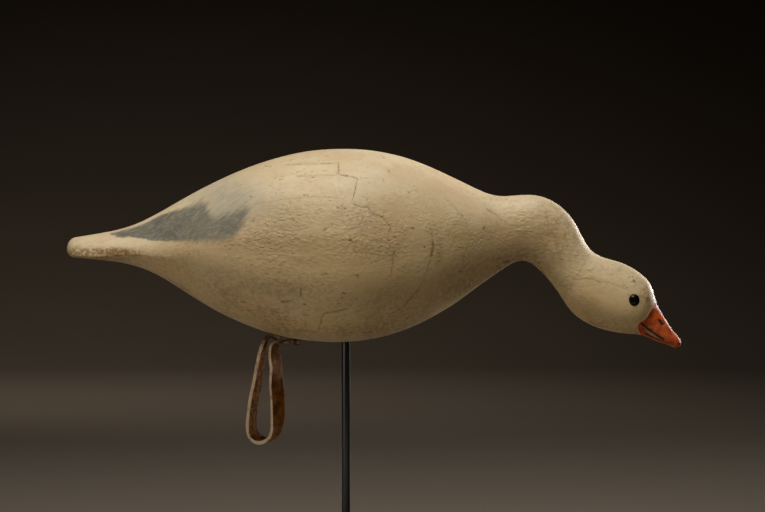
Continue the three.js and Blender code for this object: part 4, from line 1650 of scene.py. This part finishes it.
@dataclass(frozen=True)
class HeadPaint:
    """Finish of the head: ivory paint, a painted bill and painted shade in the eye sockets."""

    ivory: IvoryPaint = IvoryPaint()
    bill: BillPaint = BillPaint()

    def material(self) -> bpy.types.Material:
        """The ivory with its specks, then the bill, then painted shade in the sockets.

        Returns:
            The head's material.
        """
        board = ShaderBoard("aged_ivory_head_paint")
        colour, height = self.ivory.ground(board)
        colour = self.bill.over(board, self.ivory.specks(board, colour))
        # Painted shade: the sockets round the glass eyes are painted in the dark ink colour.
        socket = board.step(board.mark("socket"), 0.25, 0.9)
        on_bill = board.step(board.mark("bill"), -0.5, 1.0)
        return board.surface(
            Base_Color=board.layers(colour, (socket, self.ivory.ink)),
            Roughness=board.step(board.noise(6, 3), 0.2, 0.8, 0.16) + 0.46 + on_bill * 0.04,
            Specular_IOR_Level=0.42,
            Normal=board.bump(height, 1.3),
        )


@dataclass(frozen=True)
class BlackGlass:
    """Glossy black glass."""

    tint: Colour = paint(9, 7, 6)
    rim: Colour = paint(26, 16, 10)

    def material(self) -> bpy.types.Material:
        """The glass, a little browner in clouds.

        Returns:
            The eyes' material.
        """
        board = ShaderBoard("black_glass")
        clouds = board.step(board.noise(5, 2), 0.4, 0.7)
        return board.surface(
            Base_Color=board.layers(self.tint, (clouds, self.rim)),
            Roughness=0.2,
            IOR=1.46,
            Specular_IOR_Level=0.14,
            Normal=board.bump(board.noise(1.5, 2), 0.01),
        )


@dataclass(frozen=True)
class GlassEye:
    """One glass eye, a bead with a domed front sunk in the side of the head.

    edge is the easing of the bead's back, and dome_start the angle in radians from the dome's axis to
    its last ring.
    """

    side: Side
    name: str
    node: str
    radius: float = 6.0
    dome_rise: float = 2.4
    dome_start: float = 0.015
    bead_depth: float = 6.0
    edge: float = 0.5
    dome_rings: int = 20
    sides: int = 72

    def profile(self) -> Array:
        """The eye's outline from its back to its front: a straight bead, then an arc.

        The dome's radius is (r^2 + h^2) / 2h for a bead of radius r and a rise of h.

        Returns:
            Rows of radius and height.
        """
        radius, rise, foot = self.radius, self.dome_rise, -self.bead_depth
        dome = (radius**2 + rise**2) / (2 * rise)
        sweep = np.linspace(math.asin(radius / dome), self.dome_start, self.dome_rings)
        arc = np.stack([dome * np.sin(sweep), rise - dome * (1 - np.cos(sweep))], axis=-1)
        bead = [[radius - self.edge, foot], [radius, foot + self.edge], [radius, -self.edge]]
        return np.concatenate([bead, arc])

    def dress(self, loft: GooseLoft, glass: bpy.types.Material) -> None:
        """Turns the eye, sets it in its socket and dresses it.

        Args:
            loft: the goose's surface.
            glass: the eye's material.
        """
        centre, way = loft.on_side(EYE_CENTRE, self.side)
        rings = stood_on(turned(self.profile(), self.sides), centre, way)
        ends = centre - self.bead_depth * way, centre + self.dome_rise * way
        finish_piece(closed_surface(self.name, rings, *ends), Slot.EYE_GLASS, self.node, glass)


@dataclass(frozen=True)
class LoopStop:
    """A stop on the loop's legs: shares of the drop and spread, and the strap's turn on each leg."""

    down: float
    apart: float
    rear: float
    front: float


LOOP_COURSE = (
    LoopStop(0.16, 0.265, 16, 28),
    LoopStop(0.3, 0.33, 22, 34),
    LoopStop(0.43, 0.39, 26, 43),
    LoopStop(0.62, 0.51, 27, 52),
    LoopStop(0.8, 0.56, 25, 46),
    LoopStop(0.89, 0.53, 26, 38),
    LoopStop(0.962, 0.38, 30, 34),
)
OUTER_COURSE = ((0.72, 2.63), (1.0, 2.0), (1.36, 1.55), (1.9, 1.07))


@dataclass
class LeatherLoop:
    """One leather strap bent double, its two ends nailed under the belly, in millimetres and degrees.

    drop, spread, turn and lean shape the loop, fold_sag and the laps its ends, rear_nail and
    front_nail are the nails' distances from the strap's ends, and what follows them is its roughness,
    with nap_turn where the nap of its flesh side comes on.
    """

    loft: GooseLoft
    width: float = 18.0
    thickness: float = 4.5
    edge_radius: float = 0.9
    drop: float = 126.0
    spread: float = 33.5
    turn: float = 34.0
    lean: float = 8.0
    tilt: float = 0.35
    fold_sag: float = 1.0
    clearance: float = 0.3
    station: float = 330.4
    inner_lap: float = 12.5
    outer_lap: float = 35.0
    outer_end_depth: float = 0.8
    rings: int = 560
    face_steps: int = 22
    edge_steps: int = 6
    corner_steps: int = 5
    probe: float = 0.5
    rear_nail: float = 6.0
    front_nail: float = 4.0
    seed: int = 31
    lumps: Grain = Grain(0.22, (14, 9, 11))
    dents: Grain = Grain(0.1, (4, 3, 3), 40)
    nap: Grain = Grain(0.16, (1.7, 1.7, 1.7), 17)
    nap_turn: Place = (-0.1, 0.6)
    fray: Grain = Grain(0.14, (2.4, 2.0, 2.4), 71)

    def __post_init__(self) -> None:
        """Runs a spline through the strap's stops."""
        self.fold = along(self.station)
        stops = np.array(self.course())
        knots = lengths_along(stops[:, :3])
        self.spline = NaturalSpline(knots, stops)
        self.end = knots[-1]

    def under_belly(self, x: float, depth: float) -> tuple[float, ...]:
        """A stop that lies along the belly, depth below it."""
        return x, 0.0, float(self.loft.belly_at(np.array(x))) - depth, 0.0

    def on_leg(self, side: int, stop: LoopStop, turn: float) -> tuple[float, ...]:
        """A stop on one of the loop's legs.

        Args:
            side: -1 for the rear leg, 1 for the front one and 0 for the bend.
            stop: how far down and apart it is.
            turn: the strap's turn there in degrees.

        Returns:
            X, Y, Z and the turn in radians.
        """
        across = side * stop.apart * self.spread
        angle = math.radians(self.turn)
        x = self.fold - self.lean * stop.down + across * math.cos(angle)
        z = float(self.loft.belly_at(np.array(self.fold))) - stop.down * (self.drop - self.thickness / 2)
        return x, -across * math.sin(angle), z, math.radians(turn)

    def course(self) -> list[tuple[float, ...]]:
        """The strap's middle line from its inner lap to its outer lap.

        Returns:
            Stops, each of X, Y, Z and the strap's turn.
        """
        half = self.thickness / 2
        depth = self.clearance + half
        end = self.outer_lap / self.inner_lap, self.outer_end_depth
        laps = [(ahead * self.inner_lap, deep * self.thickness) for ahead, deep in (*OUTER_COURSE, end)]
        return [
            self.under_belly(self.fold + self.inner_lap, depth),
            self.under_belly(self.fold + self.inner_lap / 2, depth),
            self.under_belly(self.fold + half, depth + self.clearance),
            self.under_belly(self.fold - half, depth + half + self.fold_sag),
            *(self.on_leg(-1, stop, stop.rear) for stop in LOOP_COURSE),
            self.on_leg(0, LoopStop(1, 0, 0, 0), self.turn),
            *(self.on_leg(1, stop, stop.front) for stop in LOOP_COURSE[::-1]),
            *(self.under_belly(self.fold + ahead, deep) for ahead, deep in laps),
        ]

    def directions(self, t: Array) -> tuple[Array, Array, Array]:
        """The strap's middle line and how it is turned there.

        The way across is (sin turn, cos turn, tilt * sin turn) made square to the middle line, and
        the way through is the middle line's way crossed with it.

        Args:
            t: distances along the strap.

        Returns:
            Points of the middle line, ways across and ways through.
        """
        here = self.spline.at(t)
        before = self.spline.at(np.maximum(t - self.probe, 0))[..., :3]
        after = self.spline.at(np.minimum(t + self.probe, self.end))[..., :3]
        way = unit(after - before)
        sine, cosine = np.sin(here[..., 3]), np.cos(here[..., 3])
        wide = np.stack([sine, cosine, self.tilt * sine], axis=-1)
        wide = unit(wide - (wide * way).sum(-1, keepdims=True) * way)
        return here[..., :3], wide, np.cross(way, wide)

    def section(self) -> tuple[Array, Array]:
        """The strap's section, a rounded rectangle walked corner by corner.

        Returns:
            Rows of across and through, and the outward way at each.
        """
        half = np.array([self.width / 2, self.thickness / 2]) - self.edge_radius
        points, outward = [], []
        for quarter, signs in enumerate(CORNERS):
            angle = (quarter + np.linspace(0, 1, self.corner_steps)) * np.pi / 2
            way = np.stack([np.cos(angle), np.sin(angle)], axis=-1)
            arc = half * signs + self.edge_radius * way
            steps = self.edge_steps if quarter % 2 else self.face_steps
            flat_end = half * CORNERS[(quarter + 1) % len(CORNERS)] + self.edge_radius * way[-1]
            share = np.linspace(0, 1, steps + 1)[1:-1, None]
            points += [arc, arc[-1] + (flat_end - arc[-1]) * share]
            outward += [way, np.repeat(way[-1:], steps - 1, 0)]
        return np.concatenate(points), np.concatenate(outward)

    def dress(self) -> None:
        """Carries the section along the strap, with a rough flesh side and slightly frayed edges."""
        t = np.linspace(0.0, self.end, self.rings)
        middle, wide, through = (part[:, None] for part in self.directions(t))
        section, outward = self.section()
        rings = middle + section[:, :1] * wide + section[:, 1:] * through
        normals = outward[:, :1] * wide + outward[:, 1:] * through
        flesh = np.broadcast_to(outward[:, 1], rings.shape[:-1])
        edge = np.broadcast_to(np.abs(outward[:, 0]), rings.shape[:-1])
        fuzz = SoftNoise(self.seed)
        rough = self.lumps.over(fuzz, rings) + self.dents.over(fuzz, rings)
        rough += self.nap.over(fuzz, rings) * smooth_step(flesh, *self.nap_turn)
        rough += self.fray.over(fuzz, rings) * edge
        rings = rings + normals * rough[..., None]
        far = np.broadcast_to(t[:, None], rings.shape[:-1])
        marks = {"flesh": flesh, "cut_edge": edge, "along_strap": far}
        piece = closed_surface("nailed_leather_loop", rings, rings[0].mean(0), rings[-1].mean(0), marks)
        finish_piece(piece, Slot.STRAP_LEATHER, "leather_loop", OldLeather().material())

    def nail_seat(self, t: float) -> tuple[Array, Array]:
        """Where a nail sits in the strap.

        Args:
            t: the nail's distance along the strap.

        Returns:
            The place of the nail's head under the strap, and its way up into the belly.
        """
        middle, _, through = self.directions(np.array(t))
        into = through if through[2] > 0 else -through
        return middle - into * (self.thickness / 2 + self.clearance), into


@dataclass(frozen=True)
class OldLeather:
    """Tan leather: smooth and worn outside, brown suede inside, pale at the cut edges.

    rear_fold and front_fold are the stretches along the strap over which the painted shade of its two
    folds under the belly comes and goes, in millimetres.
    """

    tan: Colour = paint(150, 97, 44)
    worn: Colour = paint(96, 56, 21)
    suede: Colour = paint(136, 88, 38)
    suede_dark: Colour = paint(64, 35, 11)
    edge: Colour = paint(218, 194, 162)
    edge_dirt: Colour = paint(160, 122, 82)
    rear_fold: Place = (34, 16)
    front_fold: Place = (256, 272)

    def material(self) -> bpy.types.Material:
        """The leather, its flesh side and cut edges laid out by the mesh's attributes.

        Returns:
            The loop's material.
        """
        board = ShaderBoard("old_tan_leather")
        noise, step = board.noise, board.step
        far = board.mark("along_strap")
        flesh = step(board.mark("flesh"), 0.2, 0.7)
        smooth = board.layers(self.tan, (step(noise(9, 4, 0.6), 0.35, 0.66), self.worn))
        suede = board.layers(self.suede, (step(noise(5, 4, 0.7), 0.4, 0.62), self.suede_dark))
        frayed = board.layers(self.edge, (step(noise(7, 3, 0.6), 0.45, 0.7, 0.8), self.edge_dirt))
        # Painted shade: the strap turns dark where its two folds lie under the belly.
        fold = board.larger(step(far, *self.rear_fold), step(far, *self.front_fold))
        fold_shade = fold * (step(noise(5, 3), 0.35, 0.6, 0.2) + 0.78)
        cut = step(board.mark("cut_edge"), 0.45, 0.8)
        grain = noise(0.9, 3, 0.7) * (flesh * 0.8 + 0.25) + board.cells(1.5) * 0.25
        return board.surface(
            Base_Color=board.layers(smooth, (flesh, suede), (cut, frayed), (fold_shade, self.suede_dark)),
            Roughness=flesh * 0.2 + 0.74,
            Specular_IOR_Level=0.08,
            Normal=board.bump(grain, 0.35),
        )


@dataclass(frozen=True)
class RustedIron:
    """Dark rusted iron."""

    iron: Colour = paint(46, 36, 30)
    rust: Colour = paint(104, 58, 32)

    def material(self) -> bpy.types.Material:
        """The iron with patches of rust.

        Returns:
            The nails' material.
        """
        board = ShaderBoard("rusted_nail_iron")
        rusty = board.step(board.noise(2, 4, 0.7), 0.42, 0.6)
        return board.surface(
            Base_Color=board.layers(self.iron, (rusty, self.rust)),
            Metallic=0.8 - rusty * 0.7,
            Roughness=rusty * 0.3 + 0.5,
            Normal=board.bump(board.noise(0.8, 3, 0.6), 0.12),
        )


@dataclass(frozen=True)
class Nail:
    """One iron nail driven up through the strap into the belly.

    crown_share and tip_share are the crown's and the tip's parts of the head's and shank's radius, and
    bevel_share is what is left of the head's bevel half way round it. The pits are shares of the size.
    """

    name: str
    node: str
    length: float = 30.0
    shank_radius: float = 1.2
    head_radius: float = 3.0
    head_thickness: float = 1.4
    head_bevel: float = 0.6
    bevel_share: float = 0.3
    easing: float = 0.15
    crown: float = 0.1
    crown_share: float = 0.45
    point: float = 5.0
    tip: float = 0.2
    tip_share: float = 0.2
    seed: int = 41
    pits: Grain = Grain(0.05, (1.5, 1.5, 1.5))
    sides: int = 40

    def dress(self, seat: Array, into: Array, iron: bpy.types.Material) -> None:
        """Turns the nail from its head to its point, pits it, drives it in and dresses it.

        Args:
            seat: the place of the head's upper face.
            into: the nail's way.
            iron: the nail's material.
        """
        head, shank, bevel = self.head_radius, self.shank_radius, self.head_bevel
        low = -self.head_thickness
        profile = [
            (head * self.crown_share, low - self.crown),
            (head - bevel, low),
            (head - bevel * self.bevel_share, low + bevel * self.bevel_share),
            (head, low + bevel),
            (head, -self.easing),
            (head - self.easing, 0.0),
            (shank, 0.0),
            (shank, self.length - self.point),
            (shank * self.tip_share, self.length - self.tip),
        ]
        rings = turned(np.array(profile), self.sides)
        rings = rings * (1 + self.pits.over(SoftNoise(self.seed), rings))[..., None]
        ends = stood_on(np.array([[0, 0, low - self.crown], [0, 0, self.length]]), seat, into)
        piece = closed_surface(self.name, stood_on(rings, seat, into), *ends)
        finish_piece(piece, Slot.NAIL_IRON, self.node, iron)


@dataclass(frozen=True)
class BlackSteel:
    """Black painted steel of the stand."""

    black: Colour = paint(20, 20, 23)
    grey: Colour = paint(38, 38, 42)

    def material(self) -> bpy.types.Material:
        """The paint with a faint orange-peel texture and handling marks.

        Returns:
            The stand's material.
        """
        board = ShaderBoard("black_painted_steel")
        marks = board.step(board.noise(22, 5, 0.65), 0.5, 0.85, 0.6)
        return board.surface(
            Base_Color=board.layers(self.black, (marks, self.grey)),
            Metallic=0.2,
            Roughness=marks * 0.16 + 0.3,
            Normal=board.bump(board.noise(1.1, 3), 0.03),
        )


@dataclass(frozen=True)
class Stand:
    """The rod that holds the goose up, and the plate that it stands on.

    length, width, corner and bevel are the plate's, and face_margin is how far inside its edge each
    face's own outline lies.
    """

    rod_radius: float = 5.0
    rod_in_base: float = 8.0
    rod_in_body: float = 60.0
    rod_bevel: float = 0.8
    rod_rings: int = 24
    length: float = 280.0
    width: float = 200.0
    corner: float = 6.0
    bevel: float = 1.2
    face_margin: float = 1.0
    sides: int = 96
    corner_steps: int = 16
    edge_steps: int = 5

    def rod(self) -> bpy.types.Object:
        """A round bar from inside the plate to inside the body, with eased ends.

        Returns:
            The rod's object.
        """
        foot = BASE_THICKNESS - self.rod_in_base
        top = BELLY_HEIGHT + self.rod_in_body
        inner = self.rod_radius - self.rod_bevel
        heights = np.linspace(foot + self.rod_bevel, top - self.rod_bevel, self.rod_rings)
        side = np.stack([np.full(self.rod_rings, self.rod_radius), heights], axis=-1)
        profile = np.concatenate([[[inner, foot]], side, [[inner, top]]])
        return closed_surface("steel_rod", turned(profile, self.sides), [0, 0, foot], [0, 0, top])

    def plate(self) -> bpy.types.Object:
        """A flat plate: rounded rectangles, each drawn in by its share of a quarter-round edge.

        One more rectangle lies inside the edge of each face, so that the face is shaded flat.

        Returns:
            The plate's object.
        """
        angle = np.linspace(0, np.pi / 2, self.edge_steps)
        inset = np.append(self.bevel + self.face_margin, self.bevel * (1 - np.sin(angle)))
        rise = np.append(0, self.bevel * (1 - np.cos(angle)))
        height = np.concatenate([rise, BASE_THICKNESS - rise[::-1]])[:, None, None]
        reach = self.corner - np.concatenate([inset, inset[::-1]])[:, None, None]
        quarter = np.linspace(0, np.pi / 2, self.corner_steps)
        turn = np.concatenate([quarter + k * np.pi / 2 for k in range(len(CORNERS))])
        half = np.array([self.length / 2, self.width / 2]) - self.corner
        corners = half * np.repeat(CORNERS, self.corner_steps, axis=0)
        flat = corners + reach * np.stack([np.cos(turn), np.sin(turn)], axis=-1)
        rings = np.concatenate([flat, np.broadcast_to(height, (*flat.shape[:2], 1))], axis=-1)
        return closed_surface("steel_plate", rings, [0, 0, 0], [0, 0, BASE_THICKNESS])

    def dress(self) -> None:
        """Builds and dresses the rod and the plate."""
        steel = BlackSteel().material()
        finish_piece(self.rod(), Slot.STAND_STEEL, "stand_rod", steel)
        finish_piece(self.plate(), Slot.STAND_STEEL, "stand_base", steel)


@dataclass(frozen=True)
class Softbox:
    """A soft rectangular light: where it stands, what it looks at, its size, power and colour."""

    name: str
    place: Triple
    aim: Triple
    size: Place
    watts: float
    tint: Colour
    spread: float


LIGHTS = (
    Softbox("key_light", (0.12, -0.97, 2.86), (0.03, 0.06, 0.3), (1.2, 0.95), 20, (1, 0.93, 0.84), 100),
    Softbox("fill_light", (-1.9, -1.3, 0.4), (-0.1, 0, 0.3), (1.2, 0.7), 1.2, (1, 0.92, 0.82), 60),
    Softbox("bounce_light", (-0.05, -0.3, 0.07), (-0.05, 0, 0.36), (1.4, 0.12), 0.26, (1, 0.91, 0.78), 140),
    Softbox("glow_light", (0, 0.4, 0.04), (0, 0, 0.36), (1.5, 0.12), 0.16, (1, 0.86, 0.68), 150),
    Softbox("rim_light", (1.4, 1.2, 0.72), (0.21, 0, 0.38), (0.6, 0.6), 1.1, (1, 0.97, 0.94), 20),
    Softbox("wall_light", (-1, 0.5, 2.2), (-0.8, 3.7, 0), (2.2, 0.5), 7.8, (1, 0.86, 0.72), 60),
)


@dataclass(frozen=True)
class Studio:
    """A plain pale bowl, soft lights and the camera, in metres; lens and sensor are in millimetres."""

    view_from: Triple = (0.04167, -2.5, 0.33973)
    lens: float = 103.04
    sensor: float = 36.0
    middle_radius: float = 0.5
    floor_radius: float = 4.2
    curve: float = 2.7
    wall: float = 4.6
    curve_steps: int = 32
    sides: int = 128
    paper: Colour = paint(112, 105, 96)
    paper_shade: Colour = paint(107, 100, 92)
    room_tint: Colour = (1.0, 0.72, 0.45)
    room_strength: float = 0.02

    def bowl(self) -> bpy.types.Object:
        """The floor, which curves up into a wall all round: a disc, a quarter circle and a line, turned.

        Returns:
            The bowl's object.
        """
        angle = np.linspace(0, np.pi / 2, self.curve_steps)
        radius = self.floor_radius + self.curve * np.sin(angle)
        height = self.curve * (1 - np.cos(angle))
        profile = [[self.middle_radius, *radius, radius[-1]], [0.0, *height, self.wall]]
        rings = turned(np.stack(profile, axis=-1), self.sides)
        index, _, quads = ring_index(rings)
        mesh = bpy.data.meshes.new("pale_bowl")
        mesh.from_pydata(rings.reshape(-1, 3).tolist(), [], [index[0].tolist(), *quads[:, ::-1].tolist()])
        mesh.shade_smooth()
        board = ShaderBoard("pale_paper")
        tone = board.layers(self.paper, (board.noise(400, 2), self.paper_shade))
        mesh.materials.append(board.surface(Base_Color=tone, Roughness=0.9, Specular_IOR_Level=0.1))
        return placed("pale_bowl", mesh)

    def light(self, box: Softbox) -> None:
        """Hangs one soft light.

        Args:
            box: the light's place, aim, size, power, colour and spread.
        """
        lamp = bpy.data.lights.new(box.name, "AREA")
        lamp.shape = "RECTANGLE"
        lamp.size, lamp.size_y = box.size
        lamp.energy = box.watts
        lamp.color = box.tint
        lamp.spread = math.radians(box.spread)
        holder = placed(box.name, lamp)
        holder.location = box.place
        way = Vector(box.aim) - Vector(box.place)
        holder.rotation_euler = way.to_track_quat("-Z", "Y").to_euler()
        holder.visible_camera = False

    def camera(self) -> None:
        """Sets up the camera, level and square to the goose's side."""
        lens = bpy.data.cameras.new("view")
        lens.lens = self.lens
        lens.sensor_width = self.sensor
        lens.sensor_fit = "HORIZONTAL"
        holder = placed("view", lens)
        holder.location = self.view_from
        holder.rotation_euler = (math.pi / 2, 0, 0)
        bpy.context.scene.camera = holder

    def build(self) -> None:
        """Builds the bowl, the lights, a dim world and the camera."""
        self.bowl()
        for box in LIGHTS:
            self.light(box)
        world = bpy.data.worlds.new("dim_room")
        world.use_nodes = True
        background = world.node_tree.nodes["Background"]
        background.inputs["Color"].default_value = (*self.room_tint, 1.0)
        background.inputs["Strength"].default_value = self.room_strength
        bpy.context.scene.world = world
        bpy.context.scene.view_settings.view_transform = "Standard"
        self.camera()
        log.info("studio ready")


def main() -> None:
    """Builds and dresses every piece, then the studio."""
    logging.basicConfig(level=logging.INFO, format="%(name)s: %(message)s")
    loft = GooseLoft()
    GooseBody(loft).dress()
    GooseHead(loft).dress()
    glass = BlackGlass().material()
    GlassEye(Side.LEFT, "left_glass_eye", "left_eye").dress(loft, glass)
    GlassEye(Side.RIGHT, "right_glass_eye", "right_eye").dress(loft, glass)
    loop = LeatherLoop(loft)
    loop.dress()
    iron = RustedIron().material()
    Nail("rear_iron_nail", "rear_nail").dress(*loop.nail_seat(loop.rear_nail), iron)
    Nail("front_iron_nail", "front_nail").dress(*loop.nail_seat(loop.end - loop.front_nail), iron)
    Stand().dress()
    Studio().build()


if __name__ == "__main__":
    main()
